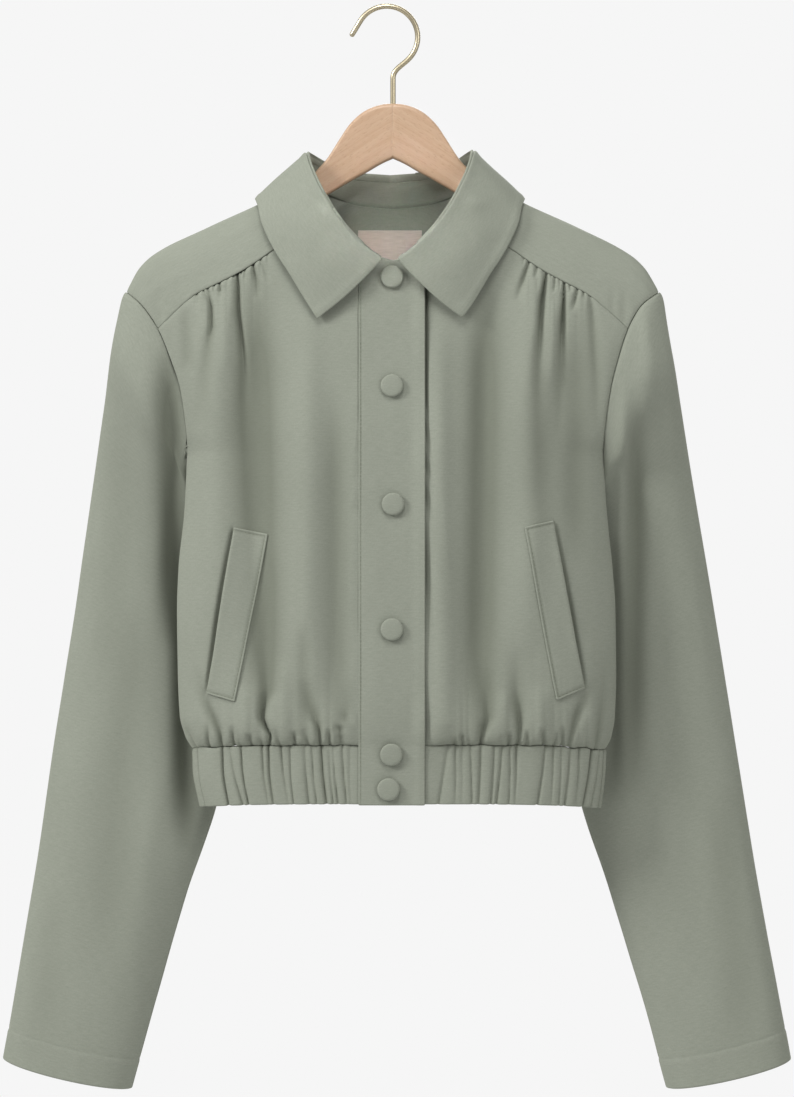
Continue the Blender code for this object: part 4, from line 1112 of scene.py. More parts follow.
@dataclass
class Waistband:
    """The waistband, gathered on elastic, round from one side of the centre front to the other."""

    body: Body
    wall: float = 1.8
    # Reach at the top seam and at the hem, depth at each, and half width, of the front's gathers.
    front_gathers: tuple = (
        (-156.8, -156, 1.2, 1.0, 1.4), (-136.8, -136.8, 3.4, 3.2, 1.5), (-130.4, -124.8, 0.4, 2.2, 1.5),
        (-121.6, -120, 2.4, 2.6, 1.3), (-104.8, -103.2, 2.6, 0.7, 1.4), (-99.6, -99.2, 3.8, 2.2, 1.6),
        (-89.6, -86.4, 2.6, 0.5, 1.3), (-82.4, -82.4, 1.2, 1.6, 1.1), (-70.4, -69.6, 0.8, 2.2, 1.8),
        (-64.8, -63.2, 1.5, 1.7, 1.1), (-57.6, -55.2, 3.8, 3.8, 1.6), (-51.2, -49.6, 0.2, 1.8, 1.2),
        (-48, -45.6, 0.4, 2.6, 1.3), (-40.8, -38.4, 1.8, 2.0, 1.3), (-34.5, -35.2, 0.8, 0.4, 1.6),
        (44, 37.6, 1.0, 1.7, 1.8), (49.6, 51.2, 2.0, 0.2, 1.2), (55.2, 56.8, 0.9, 0.2, 1.4),
        (61.6, 64.8, 1.5, 1.8, 1.3), (70, 70, 2.8, 2.4, 1.4), (80.8, 80, 1.2, 2.8, 1.2),
        (87.2, 84.8, 1.5, 2.6, 1.6), (93.2, 95.2, 1.7, 1.7, 1.3), (98.4, 100, 3.2, 0.4, 1.5),
        (121.6, 118.4, 1.7, 2.4, 1.3), (128, 129.6, 1.9, 0.2, 1.2), (134.4, 136, 0.9, 1.4, 1.1),
        (141.6, 140.8, 1.6, 2.0, 1.3), (148.8, 149.6, 1.8, 0.2, 1.2), (159.2, 156, 3.4, 2.6, 1.6),
        (165.6, 162.4, 1.0, 1.0, 1.2),
    )

    def gathers(self, across: Array, reach: Array, half_girth: float) -> Array:
        """The gathers all round, by distance round the band.

        Args:
            across: distances round the band of the front's points.
            reach: signed reaches of those points.
            half_girth: distance from the centre front to the centre back.

        Returns:
            Rows of position at the top and the hem, depth at each, and half width.
        """
        rows = []
        for top, end, *sizes in self.front_gathers:
            rows.append((*np.interp((top, end), reach, across), *sizes))
        draw = np.random.RandomState(17)
        place = rows[-1][0] + 6
        end = 2 * half_girth + rows[0][0] - 6
        while place < end:
            shift = draw.uniform(-2, 2)
            sizes = draw.uniform(0.8, 3.0), draw.uniform(0.8, 2.4), draw.uniform(1.5, 2.1)
            rows.append((place, place + shift, *sizes))
            place += draw.uniform(5, 22)
        return np.array(rows)

    def make(self) -> bpy.types.Object:
        """Builds the band.

        Returns:
            The piece.
        """
        form, cloth = self.body.form, self.body.cloth
        inset = cloth.inset(self.wall)
        # The columns stand closest at the centre back, where the band turns sharpest.
        around = np.linspace(-1, 1, 1080)
        around = np.sign(around) * (0.35 * np.abs(around) + 0.65 * np.abs(around) ** 0.9)
        flank = np.where(around < 0, -1, 1)
        turn = 1 - np.abs(around)
        turn[0] = turn[-1] = float(form.turn_at(1, 0.3, form.band_drop, Side.FRONT))
        down = spaced(form.hem_drop - form.band_drop, 1.7)[:, None]
        drop = form.band_drop + inset + down * (form.hem_drop - self.wall / 2 - form.band_drop - inset)
        turn = turn + 0 * drop
        smooth = form.point(flank, turn, drop)
        # Distance round the band: 0 at the centre front, rising over +X to the back.
        girth = flat_width(smooth[:1])[0]
        half_girth = girth[-1] / 2
        place = np.where(flank > 0, girth[-1] - girth, -girth)
        reach = smooth[0, :, 0] - form.centre_x
        front = turn[0] <= 0.5
        order = np.argsort(place[front])
        gathers = self.gathers(place[front][order], reach[front][order], half_girth)
        spot = np.where(place < gathers[0, 0] - 8, place + 2 * half_girth, place)
        height, depth = self.relief(gathers, spot, (drop - form.band_drop) / (form.hem_drop - form.band_drop))
        height = height * np.clip(smooth_step(np.abs(reach), 24, 30) + (turn[0] > 0.5), 0, 1)
        height = height + cloth.seam_dip(drop - drop[0]) + 0.2 * soft_noise(spot / 9, drop / 16, 5)
        normal = form.normal(flank, turn, drop)
        points = smooth + normal * height[..., None]
        points[..., 2] += 0.16 * np.exp(-(drop[-1] - drop) / 5) * depth
        flat = np.stack([spot + 0 * height, -drop + 0 * height], axis=-1)
        # The gathers' depth goes to the crease attribute, by which the material paints shade into them.
        return shell("jacket_waistband", Sheet(points, flat, np.clip(depth / 3, 0, 1), normal), self.wall)

    def relief(self, gathers: Array, spot: Array, down: Array) -> tuple[Array, Array]:
        """Heights and crease depths of the gathered band.

        Args:
            gathers: rows of position at the top and the hem, depth at each, and half width.
            spot: distances round the band.
            down: 0 at the seam to 1 at the hem.

        Returns:
            Heights, and the depth of the creases alone.
        """
        shape = np.broadcast(spot, down).shape
        height, depth = np.zeros(shape), np.zeros(shape)
        lines = gathers[:, 0] + down * (gathers[:, 1] - gathers[:, 0])
        # Between two gathers the cloth puffs out, and each puff leans its own way.
        leans = np.random.RandomState(23).uniform(-1, 1, len(gathers))
        for k in range(len(down)):
            line = np.sort(lines[k])
            last = len(line) - 1
            gap = np.searchsorted(line, spot)
            left, right = line[np.clip(gap - 1, 0, last)], line[np.clip(gap, 0, last)]
            width = np.maximum(right - left, 1e-6)
            lean = leans[np.clip(gap, 0, last)]
            share = np.clip((spot - left) / width, 0, 1) ** np.exp(0.55 * lean)
            full = np.minimum((0.07 + 0.02 * lean) * width, 1.0)
            inside = (gap > 0) & (gap <= last)
            height[k] = np.where(inside, full * np.sin(math.pi * share) ** 0.8, 0)
        for top, end, depth_top, depth_end, half in gathers:
            line = top + (end - top) * down
            deep = depth_top + (depth_end - depth_top) * down
            made = 0.85 * deep * bell(spot - line, 0.62 * half, 1.15)
            height -= made
            depth += made
        return height, depth


@dataclass
class Sleeve:
    """A one-piece set-in sleeve that hangs behind the side of the body."""

    body: Body
    flank: Flank
    wall: float = 1.2
    hem_wall: float = 2.0
    hem_depth: float = 24.0
    around_step: float = 2.6
    # Where the sleeve's own seam runs, as a share of the half turn from the shoulder over the front.
    seam_share: float = 0.945
    # How square the front is on each side.
    squareness: tuple[float, float] = (0.95, 0.7)
    # How far the outer edge hangs in front of the inner one on each side, below the shoulder.
    lean: tuple[float, float] = (-3.0, 7.0)
    rings: Table = Table(
        "ring outer_left outer_right outer_drop inner_left inner_right inner_drop middle half_depth sag back",
        (1, 223.5, 222, 265, 160, 164, 382, -4, 31, 4, 9),
        (2, 231, 231, 318, 152, 156, 404, 10, 28, 0, 4),
        (3, 240, 240.5, 378, 143, 147, 438, 22, 26, 0, 0),
        (4, 251, 252.5, 450, 135, 139, 488, 28, 25, 0, 0),
        (5, 262.5, 264.5, 525, 135, 140, 556, 29, 25, 0, 0),
        (6, 274, 277, 600, 140, 149, 630, 27, 25, 0, 0),
        (7, 286, 290, 683, 166, 175.5, 711, 25, 25, 1, 0),
        (8, 299, 304.5, 762, 188.5, 199, 788, 22, 24, 3, 0),
        (9, 312, 318.4, 841.5, 210, 220, 864, 20, 24, 6, 0),
    )
    # How far the seam allowance reaches under the body's edge and lies below it, row by row.
    allowance: tuple = ((-3.4, -1.9), (-1.8, -1.85), (-0.7, -1.45), (-0.15, -0.8))
    allowance_wall: float = 0.5
    # Flank, then reach and drop at the top and at the end, half widths there, and height.
    folds: tuple = (
        (-1, -179, 268, -173, 520, 8, 11, -8.0),
        (-1, -166, 395, -164, 680, 9, 10, -8.0),
        (-1, -196, 262, -200, 420, 8, 14, 1.8),
        (-1, -212, 330, -232, 560, 12, 16, -1.2),
        (-1, -204, 470, -232, 760, 14, 18, -1.6),
        (-1, -246, 560, -268, 800, 14, 18, 1.5),
        (-1, -186, 600, -214, 800, 10, 14, 1.4),
        (-1, -268, 700, -286, 850, 12, 14, -1.2),
        (1, 202, 240, 205, 305, 5, 8, 2.2),
        (1, 221, 272, 225, 370, 7, 12, 2.4),
        (1, 185, 296, 183, 480, 5, 6, 3.0),
        (1, 196, 300, 191, 640, 6.5, 10, -5.0),
        (1, 177, 420, 176, 640, 6, 7, -4.0),
        (1, 218, 330, 238, 620, 16, 22, 2.6),
        (1, 236, 420, 262, 700, 14, 20, 1.6),
        (1, 206, 560, 236, 800, 12, 16, 1.5),
        (1, 262, 620, 284, 850, 12, 16, -1.4),
    )

    def armhole_ring(self) -> tuple[Array, Array, Array, Array, float]:
        """The sleeve's first ring, along the armhole's seam.

        Returns:
            Angles round from the shoulder over the front, points, the form's normals, directions away
            from the body, and the angle of the sleeve's seam.
        """
        form, flank = self.body.form, self.flank
        tip, count = form.armhole.values[0, 0], 64
        drops = tip + (form.underarm_drop - tip) * np.linspace(0, 1, count) ** 1.6
        points, normals = [], []
        for side, order in ((Side.FRONT, slice(None)), (Side.BACK, slice(-2, 0, -1))):
            turn = form.armhole_turn(flank, drops, side)
            points.append(form.point(flank, turn, drops)[order])
            normals.append(form.normal(flank, turn, drops)[order])
        points, normals = np.concatenate(points), np.concatenate(normals)
        run = run_along(points)
        total = run[-1] + np.linalg.norm(points[0] - points[-1])
        half = run[count - 1]
        angles = np.where(run <= half, run / half, 1 + (run - half) / (total - half)) * math.pi
        want = np.linspace(0, 2 * math.pi, int(total / self.around_step), endpoint=False)
        seam = math.pi * self.seam_share
        near = np.radians((-1.1, -0.75, -0.45, -0.2, 0, 0.2, 0.45, 0.75, 1.1))
        want = np.sort(np.concatenate([want, seam + near]))
        want = want[np.insert(np.diff(want) > 1e-4, 0, True)]
        around = np.append(angles, 2 * math.pi)
        ring, out = (
            np.stack([np.interp(want, around, np.append(rows[:, k], rows[0, k])) for k in range(3)], axis=-1)
            for rows in (points, normals)
        )
        tangent = np.roll(ring, -1, axis=0) - np.roll(ring, 1, axis=0)
        aside = unit(np.cross(out, tangent) * flank)
        return want, ring + aside * self.body.cloth.inset(self.wall), unit(out), aside, seam

    def ring(self, number: float, angles: Array) -> Array:
        """Points of one ring.

        Args:
            number: the ring's number.
            angles: angles round it, from its outer point over the front.

        Returns:
            The points.
        """
        side, right = self.flank.word, self.flank == Flank.RIGHT
        read = {name: float(self.rings.at(number, name)) for name in self.rings.columns[1:]}
        x = self.body.form.centre_x
        outer = np.array([x + self.flank * read["outer_" + side], 0, -read["outer_drop"]])
        inner = np.array([x + self.flank * read["inner_" + side], 0, -read["inner_drop"]])
        points = (outer + inner) / 2 + np.cos(angles)[:, None] * (outer - inner) / 2
        bow = np.sign(np.sin(angles)) * np.abs(np.sin(angles)) ** self.squareness[right]
        lean = read["back"] + self.lean[right] * min(max(number - 1, 0.0) / 2, 1.0)
        points[:, 1] = read["middle"] - bow * read["half_depth"] - np.cos(angles) * lean
        points[:, 2] -= np.abs(np.sin(angles)) * read["sag"]
        return points

    def surface(self, angles: Array, first: Array, along: Array) -> Array:
        """Smooth points of the sleeve.

        Args:
            angles: angles round the sleeve.
            first: points of the first ring.
            along: 0 at the armhole up to the number of the last ring.

        Returns:
            The points.
        """
        rings = np.array([first] + [self.ring(row[0], angles) for row in self.rings.values])
        last = len(rings) - 1
        made = []
        for value in along:
            start = min(int(value), last - 1)
            near, far = rings[start], rings[start + 1]
            slope_near = (far - rings[max(start - 1, 0)]) / (2 if start else 1)
            slope_far = (rings[min(start + 2, last)] - near) / (2 if start + 2 <= last else 1)
            made.append(eased_between(value - start, near, far, slope_near, slope_far))
        return np.array(made)

    def rows(self, angles: Array, first: Array) -> tuple[Array, Array]:
        """Places of the sleeve's rows along it, closer together at the seam and the hem.

        Args:
            angles: angles round the sleeve.
            first: points of the first ring.

        Returns:
            Values of `along`, and the mean distance of each from the cuff's edge.
        """
        fine = np.linspace(0, len(self.rings.values), 400)
        middle = self.surface(angles, first, fine).mean(axis=1)
        run = run_along(middle)
        total = run[-1]
        head = (0, 0.35, 0.8, 1.4, 2.2, 3.2, 4.4, 5.8, 7.2, 8.8, 10.6, 12.8, 15.4, 18.4)
        hem = total - self.hem_depth
        hem_rows = hem + np.array((-5, -2.6, -1.3, -0.5, 0, 0.5, 1.3, 2.6, 5, 9, 13, 17, 20))
        middle_rows = np.arange(head[-1] + 4, hem_rows[0] - 3, 4.2)
        rows = np.concatenate([head, middle_rows, hem_rows, [total - 1.4, total - 0.5, total]])
        return np.interp(rows, run, fine), total - rows

    def relief(
        self, points: Array, angles: Array, head: Array, above: Array, seam: float
    ) -> tuple[Array, Array]:
        """How far the cloth stands out of the sleeve's smooth form.

        Args:
            points: the smooth points.
            angles: angles round the sleeve.
            head: distances from the armhole's seam, for each row.
            above: distances from the cuff's edge, for each row.
            seam: the angle of the sleeve's seam.

        Returns:
            Heights, and the depth of the creases alone.
        """
        reach, drop = points[..., 0] - self.body.form.centre_x, -points[..., 2]
        angles = angles[None, :]
        sine = np.sin(angles)
        front = [soft_fold(*row) for flank, *row in self.folds if flank == self.flank]
        height, depth = (part * np.clip(sine * 1.6, 0, 1) for part in relief_of(front, reach, drop))
        behind = np.clip(-sine * 1.6, 0, 1)
        height = height + behind * 2.2 * soft_noise(reach / 42 + 3, drop / 150 + self.flank, 31)
        height = height + 0.8 * soft_noise(reach / 38, drop / 120, 33 + self.flank) * np.clip(head / 40, 0, 1)
        height = height + 0.18 * soft_noise(reach / 12, drop / 40, 35)
        # The sleeve's head rolls over its seam allowance, most at the top of the shoulder.
        crown = np.clip(np.cos(angles), 0, 1) ** 0.5
        height = height + crown * 1.5 * (head / 7) * np.exp(1 - head / 7)
        height = height + self.body.cloth.seam_dip(head)
        # The seam down the inner side, pressed open under the cloth.
        radius = 60.0
        offset = (angles - seam) * radius
        height = height - 0.55 * bell(offset, 0.9) + 0.25 * bell(offset, 6)
        # The hem, folded up inside and caught with blind stitches.
        hem = above - self.hem_depth
        pricks = 0.10 * soft_noise(angles * 14, 0 * head, 36)
        height = height - (0.26 + pricks) * bell(hem, 1.2) + 0.35 * smooth_step(-hem, -1, 3)
        height = height + 0.7 * soft_noise(angles * 1.6, 0.2 + above / 120, 37) * np.exp(-above / 60)
        return height, depth

    def make(self) -> bpy.types.Object:
        """Builds the sleeve as a closed tube of cloth, open at the armhole and the cuff.

        Returns:
            The piece.
        """
        angles, first, seam_normals, aside, seam = self.armhole_ring()
        along, above = self.rows(angles, first)
        points = self.surface(angles, first, along)
        head = (above[0] - above)[:, None]
        down = np.gradient(points, axis=0)
        around = np.roll(points, -1, axis=1) - np.roll(points, 1, axis=1)
        normal = unit(np.cross(around, down) * self.flank)
        agree = (normal[0] * seam_normals).sum(-1, keepdims=True)
        share = np.clip((agree - 0.2) / 0.5, 0.0, 1.0) * bell(head, 4)[..., None]
        normal = unit(share * seam_normals[None] + (1 - share) * normal)
        height, depth = self.relief(points, angles, head, above[:, None], seam)
        girth = np.linalg.norm(np.roll(points, -1, axis=1) - points, axis=-1)
        place = np.cumsum(girth, axis=1) - girth
        flat = np.stack([place, above[:, None] + 0 * place], axis=-1)
        doubled = smooth_step(self.hem_depth + 1 - above, 0, 2)[:, None]
        wall = self.wall + (self.hem_wall - self.wall) * doubled
        wall = wall - (wall - self.allowance_wall) * np.exp(-head)
        points = points + normal * height[..., None]
        # The seam allowance turns in and lies under the body's edge, so that no light comes through.
        count = len(self.allowance)
        under = np.array([points[0] + aside * out + seam_normals * below for out, below in self.allowance])
        turned = np.array([seam_normals] * 2 + [0.4 * seam_normals - aside] * 2)
        # The folds' depth goes to the crease attribute, by which the material paints shade into them.
        sheet = Sheet(
            np.concatenate([under, points]),
            np.concatenate([np.repeat(flat[:1], count, axis=0), flat]),
            np.concatenate([np.zeros((count, len(angles))), np.clip(depth / 5, 0, 1)]),
            np.concatenate([turned, normal]),
        )
        wall = np.concatenate([np.full((count, 1), self.allowance_wall), wall]) + np.zeros(sheet.crease.shape)
        return shell(f"jacket_sleeve_{self.flank.word}", sheet, wall, closed=True)


@dataclass
class Collar:
    """The pointed fall and the stand inside it."""

    body: Body
    neck_x: float = 1.6
    wall: float = 1.9
    stand_wall: float = 1.7
    bulge: float = 4.0
    shoulder_station: float = 0.56
    step: float = 2.3
    lines: Table = Table(
        "station neck_reach neck_drop roll_reach roll_y roll_drop edge_reach edge_y edge_drop",
        (0.00, 5, 205, 6.5, -53, 201, 56, -53, 248),
        (0.12, 28, 196.5, 25.5, -54, 186, 67, -50, 234),
        (0.25, 46, 183, 43.5, -49, 165, 80, -46, 213),
        (0.38, 59, 166, 56, -39, 144, 92, -41, 194),
        (0.48, 69, 152, 64, -25, 126, 102.5, -31, 171),
        (0.52, 73.5, 145, 66.5, -16, 118.4, 105.5, -19.8, 158),
        (0.56, 76, 140.5, 67.5, -6, 115.6, 108, -6, 152),
        (0.64, 68, 144, 64.5, 12, 117, 104, 15, 158.5),
        (0.75, 50, 150.5, 52, 29, 123.5, 86, 31, 173),
        (0.87, 27, 157.5, 30, 39, 130, 49, 42, 182),
        (1.00, 0, 160, 0, 43, 132.4, 0, 46, 186),
    )

    def line(self, kind: CollarLine, stations: Array) -> Array:
        """Points of one of the collar's lines, from the -X front end round to the +X front end.

        Args:
            kind: which line.
            stations: 0 at the -X front end, 1 at centre back and 2 at the +X front end.

        Returns:
            The points.
        """
        form = self.body.form
        flank = np.where(stations <= 1, -1, 1)
        station = np.where(stations <= 1, stations, 2 - stations)
        reach = self.lines.at(station, kind.value + "_reach")
        drop = self.lines.at(station, kind.value + "_drop")
        if kind == CollarLine.NECK:
            side = np.where(station <= self.shoulder_station, -1, 1)
            rise = side * np.sqrt(np.maximum(drop - form.shoulder.at(reach, "drop"), 0.0))
            return form.over(flank * reach, rise)
        depth = self.lines.at(station, kind.value + "_y")
        return np.stack([self.neck_x + flank * reach, depth, -drop], axis=-1)

    def stations(self, start: float, kind: CollarLine) -> Array:
        """Stations evenly spaced along a line, closer together at both ends.

        Args:
            start: the first station.
            kind: which line.

        Returns:
            The stations.
        """
        fine = np.linspace(start, 2 - start, 600)
        run = run_along(self.line(kind, fine))
        return np.interp(spaced(run[-1], self.step) * run[-1], run, fine)

    def inwards(self, roll: Array) -> Array:
        """Level directions from the roll into the neck; at the front they point back, behind the fall.

        Args:
            roll: points of the roll.

        Returns:
            The directions.
        """
        towards = unit((np.array([self.neck_x, 0, 0]) - roll) * (1, 1, 0))
        front = smooth_step(-roll[:, 1], 2, 26)[:, None]
        return towards * (1 - front * (0.9, 0, 0)) - front * (0, 0.35, 0) * np.sign(-towards[:, 1:2])

    def fall(self) -> bpy.types.Object:
        """The fall, from the stand's seam inside over the roll to the outer edge.

        Returns:
            The piece.
        """
        stations = self.stations(0, CollarLine.EDGE)
        roll, edge = self.line(CollarLine.ROLL, stations), self.line(CollarLine.EDGE, stations)
        inwards = self.inwards(roll)
        neck = np.array([self.neck_x, 0, -self.lines.at(self.shoulder_station, "edge_drop")])
        down = np.array([0, 0, -1.0])
        opened = np.minimum(stations, 2 - stations)
        tucked = (0.45 + 0.55 * smooth_step(opened, 0.0, 0.16))[:, None]
        inner = roll + (inwards * 3.0 + down * 6.0) * tucked
        places = [inner, roll + (inwards * 2.3 + down * 1.6) * tucked, roll]
        slack = 1 - 0.75 * bell(opened - 0.53, 0.13)[:, None]
        for t in (0.12, 0.3, 0.5, 0.7, 0.85, 1.0):
            place = roll + (edge - roll) * t
            places.append(place + unit(place - neck) * slack * self.bulge * math.sin(math.pi * t))
        places = np.array(places)
        steps = np.linalg.norm(np.diff(places, axis=0), axis=-1).mean(axis=1)
        run = np.concatenate([[0], np.cumsum(steps)])
        # The rows: close together over the roll, as far as 6 mm beyond it, and then down the fall.
        begin = run[2] + 6
        fallen = spaced(run[-1] - run[2] - 6, 2.4)[3:] * (run[-1] - run[2] - 6)
        rows = np.concatenate([np.linspace(0, begin, 14)[:-1], begin + fallen])
        points = smooth_path(places, run, rows)
        centre = np.array([self.neck_x, 0, 0]) + roll * (0, 0, 1)
        outwards = points - centre + np.array([0, 0, 40.0])
        outwards[rows < run[1]] = inwards
        outwards[rows >= run[2] + 3] = (points - neck)[rows >= run[2] + 3]
        sheet = Sheet(points, np.zeros(points.shape[:2] + (2,)), np.zeros(points.shape[:2]), outwards)
        normal = sheet.normals()
        across, rows = flat_width(points), rows[:, None]
        sheet.flat = np.stack([across - across[:, -1:] / 2, -rows + 0 * across], axis=-1)
        height = 0.5 * soft_noise(across / 34, rows / 28, 51) * smooth_step(rows, run[2], run[2] + 20)
        # The seam allowances inside the turned edges make them a little fuller.
        below, end = run[-1] - rows, np.minimum(across, across[:, -1:] - across)
        height = height + 0.45 * bell(below - 3.4, 2.2) + 0.45 * bell(end - 3.4, 2.2)
        # Soft hollows and one swelling in the fronts of the fall: reach, drop, radius and height.
        reach, drop = points[..., 0] - self.body.form.centre_x, -points[..., 2]
        spots = ((-62, 157, 9, -1.6), (-84, 196, 12, -0.7), (83, 190, 13, -0.9), (66, 158, 8, 0.8))
        for x, z, half, deep in spots:
            away = ((reach - x) / half) ** 2 + ((drop - z) / (half * 0.7)) ** 2
            height = height + deep * np.exp(-away) * (points[..., 1] < 0)
        sheet.points = points + normal * height[..., None]
        thin = bell(opened[None, :], 0.07) * bell(rows, run[2] + 4, 4)
        return shell("jacket_collar_fall", sheet, self.wall * (1 - 0.62 * thin))

    def stand(self) -> bpy.types.Object:
        """The stand, from the neck's seam up to the fall's seam inside the roll.

        Returns:
            The piece.
        """
        stations = self.stations(0.07, CollarLine.NECK)
        neck, roll = self.line(CollarLine.NECK, stations), self.line(CollarLine.ROLL, stations)
        inwards = self.inwards(roll)
        opened = smooth_step(np.minimum(stations, 2 - stations), 0.06, 0.26)[:, None]
        up = np.array([0, 0, 1.0])
        top = roll + inwards * (1.6 + 1.3 * opened) - up * (2.4 + 4.3 * opened)
        bottom = neck + inwards * 1.9 + up
        length = float(np.linalg.norm(top - bottom, axis=-1).max())
        rows = spaced(length, 2.0)[:, None]
        points = top + (bottom - top) * rows[..., None]
        short = np.clip(np.linalg.norm(top - bottom, axis=-1) / 12, 0, 1)
        points = points + (inwards * 0.6 * np.sin(math.pi * rows[..., None])) * short[:, None]
        across = flat_width(points)
        height = 0.2 * soft_noise(across / 16, rows * 2, 55)
        flat = np.stack([across, -rows * length + 0 * across], axis=-1)
        outwards = inwards + 0 * points
        # Painted shade: the neck seam and the fall's seam both lie in a little shade, which the crease
        # attribute paints into the cloth's colour.
        shade = 0.9 * bell((1 - rows) * length, 1.6) + 0.5 * bell(rows * length, 1.6)
        sheet = Sheet(points + outwards * height[..., None], flat, shade + 0 * across, outwards)
        return shell("jacket_collar_stand", sheet, self.stand_wall)


def smooth_path(places: Array, run: Array, rows: Array) -> Array:
    """Points along smooth curves through rows of places, one curve for each column.

    Args:
        places: places on each curve.
        run: the distance of each place along the curves.
        rows: the distances wanted.

    Returns:
        The points.
    """
    gaps = np.diff(run)[:, None, None]
    slopes = np.diff(places, axis=0) / gaps
    inner = (slopes[:-1] * gaps[1:] + slopes[1:] * gaps[:-1]) / (gaps[1:] + gaps[:-1])
    tangents = np.concatenate([slopes[:1], inner, slopes[-1:]])
    row = np.clip(np.searchsorted(run, rows) - 1, 0, len(run) - 2)
    step = (run[row + 1] - run[row])[:, None, None]
    t = (rows - run[row])[:, None, None] / step
    return eased_between(t, places[row], places[row + 1], step * tangents[row], step * tangents[row + 1])


@dataclass
class Closure:
    """The placket, its buttons, the two welts and the label."""

    body: Body
    placket_reach: tuple[float, float] = (-26.6, 24.7)
    placket_inset: float = 0.8
    placket_wall: float = 1.6
    placket_lift: float = 0.3
    welt_wall: float = 1.4
    welt_lift: float = 0.3
    label_wall: float = 0.45
    button_radius: float = 9.0
    button_rise: float = 4.2
    button_lift: float = 0.25
    hem_lap: float = 0.8
    neck_bar: float = 3.4
    buttons: tuple = (
        (-0.8, 216.0), (-0.8, 303.0), (0.0, 397.5), (-0.8, 497.5), (-1.3, 597.0), (-3.6, 625.0),
    )
    welts: dict = field(default_factory=lambda: {
        Flank.LEFT: ((-127, 416), (-101, 421), (-125.5, 554.5), (-148.5, 548)),
        Flank.RIGHT: ((128, 410.5), (104, 416), (129.5, 553.5), (152.5, 544)),
    })
    label_reach: tuple = (-28.0, 23.0)
    label_drop: tuple = (177.0, 200.5)
    stitch_inset: float = 2.1

    def laid(self, x: Array, drop: Array, lift: Array | float) -> tuple[Array, Array]:
        """Points above the fronts' cloth and, below them, the waistband's form.

        Args:
            x: signed reaches.
            drop: drops.
            lift: how far the points lie above the cloth.

        Returns:
            The points, and the form's normals.
        """
        form, reach = self.body.form, np.abs(x)
        flank = np.where(x < 0, -1, 1)
        turn = form.turn_at(flank, reach, drop, Side.FRONT)
        normal = form.normal(flank, turn, drop)
        on_body = np.minimum(drop, form.band_drop)
        on_turn = form.turn_at(flank, reach, on_body, Side.FRONT)
        height, _ = self.body.relief(Side.FRONT, flank, on_turn, on_body)
        height = height * (1 - smooth_step(drop, form.band_drop - 4, form.band_drop + 10))
        return form.point(flank, turn, drop) + normal * (height + lift)[..., None], normal

    def placket(self) -> bpy.types.Object:
        """The placket, on top of both fronts and of the band.

        Returns:
            The piece.
        """
        form, half = self.body.form, self.placket_wall / 2
        start, stop = self.placket_reach
        x = start + spaced(stop - start, 1.9) * (stop - start)
        top = form.front_top.at(np.abs(x), "drop") - self.neck_bar * bell(x, 15, 4) + 0.15 + half
        end = form.hem_drop + self.hem_lap - half
        drop = top + spaced(end - 206, 2.4)[:, None] * (end - top)
        lift = self.placket_lift + self.placket_wall + 0 * drop
        # The free edge stands off the cloth under it, most over the last gathers above the band.
        lift = lift + 1.7 * smooth_step(x, 12, stop) * (0.6 + 0.4 * soft_noise(drop / 60, 0 * drop, 61))
        lift = lift + 2.0 * bell(drop - 571, 18) * smooth_step(x, 14, stop)
        lift = lift + 0.25 * soft_noise(x / 14, drop / 30, 62)
        stitch = bell(x - start - self.placket_inset, 0.6)
        lift = lift - 0.2 * stitch * (1 + 0.4 * soft_noise(drop / 2.6, 0 * drop, 63))
        lift = lift + 0.3 * bell(stop - x - 4.0, 2.4)
        for reach, button_drop in self.buttons:
            lift = lift - 0.55 * bell(np.hypot(x - reach, drop - button_drop), 10.5, 4)
        points, normal = self.laid(x + 0 * drop, drop, lift)
        flat = np.stack([x + 0 * drop, -drop], axis=-1)
        # Painted shade along the stitched groove: the crease attribute darkens the cloth there.
        sheet = Sheet(points, flat, 0.5 * stitch + 0 * drop, normal)
        return shell("jacket_placket", sheet, self.placket_wall)

    def welt_spot(self, flank: Flank, aside: Array, down: Array) -> tuple[Array, Array]:
        """Reach and drop of points of a welt.

        Args:
            flank: which welt.
            aside: millimetres from the outer, open edge.
            down: millimetres from the top edge.

        Returns:
            The reaches and drops.
        """
        width, length = self.welt_size(flank)
        u, v = aside / width, down / length
        shares = (1 - u) * (1 - v), u * (1 - v), u * v, (1 - u) * v
        corners = np.array(self.welts[flank], float)
        spot = sum(share[..., None] * corner for share, corner in zip(shares, corners))
        return spot[..., 0], spot[..., 1]

    def welt_size(self, flank: Flank) -> tuple[float, float]:
        """Width and length of a welt."""
        top_outer, top_inner, _, end_outer = np.array(self.welts[flank], float)
        return float(np.linalg.norm(top_inner - top_outer)), float(np.linalg.norm(end_outer - top_outer))

    def welt(self, flank: Flank) -> bpy.types.Object:
        """One welt, sewn down on three sides and open along its outer edge.

        Args:
            flank: which welt.

        Returns:
            The piece.
        """
        width, length = self.welt_size(flank)
        half = self.welt_wall / 2
        aside = half + spaced(width - 2 * half, 1.1)[None, :] * (width - 2 * half)
        down = half + spaced(length - 2 * half, 1.6)[:, None] * (length - 2 * half)
        aside, down = np.broadcast_arrays(aside, down)
        sewn = np.minimum(np.minimum(down, length - down), width - aside)
        stitch = bell(sewn - self.stitch_inset, 0.7)
        lift = self.welt_lift + self.welt_wall
        lift = lift + 1.8 * np.exp(-aside / 4) * np.sin(math.pi * down / length) ** 0.6
        lift = lift - 0.55 * stitch + 0.15 * soft_noise(aside / 8, down / 16, 71 + flank)
        points, normal = self.laid(*self.welt_spot(flank, aside, down), lift)
        # Painted shade along the stitched groove: the crease attribute darkens the cloth there.
        sheet = Sheet(points, np.stack([aside, -down], axis=-1), 0.8 * stitch, normal)
        return shell(f"jacket_pocket_welt_{flank.word}", sheet, self.welt_wall)

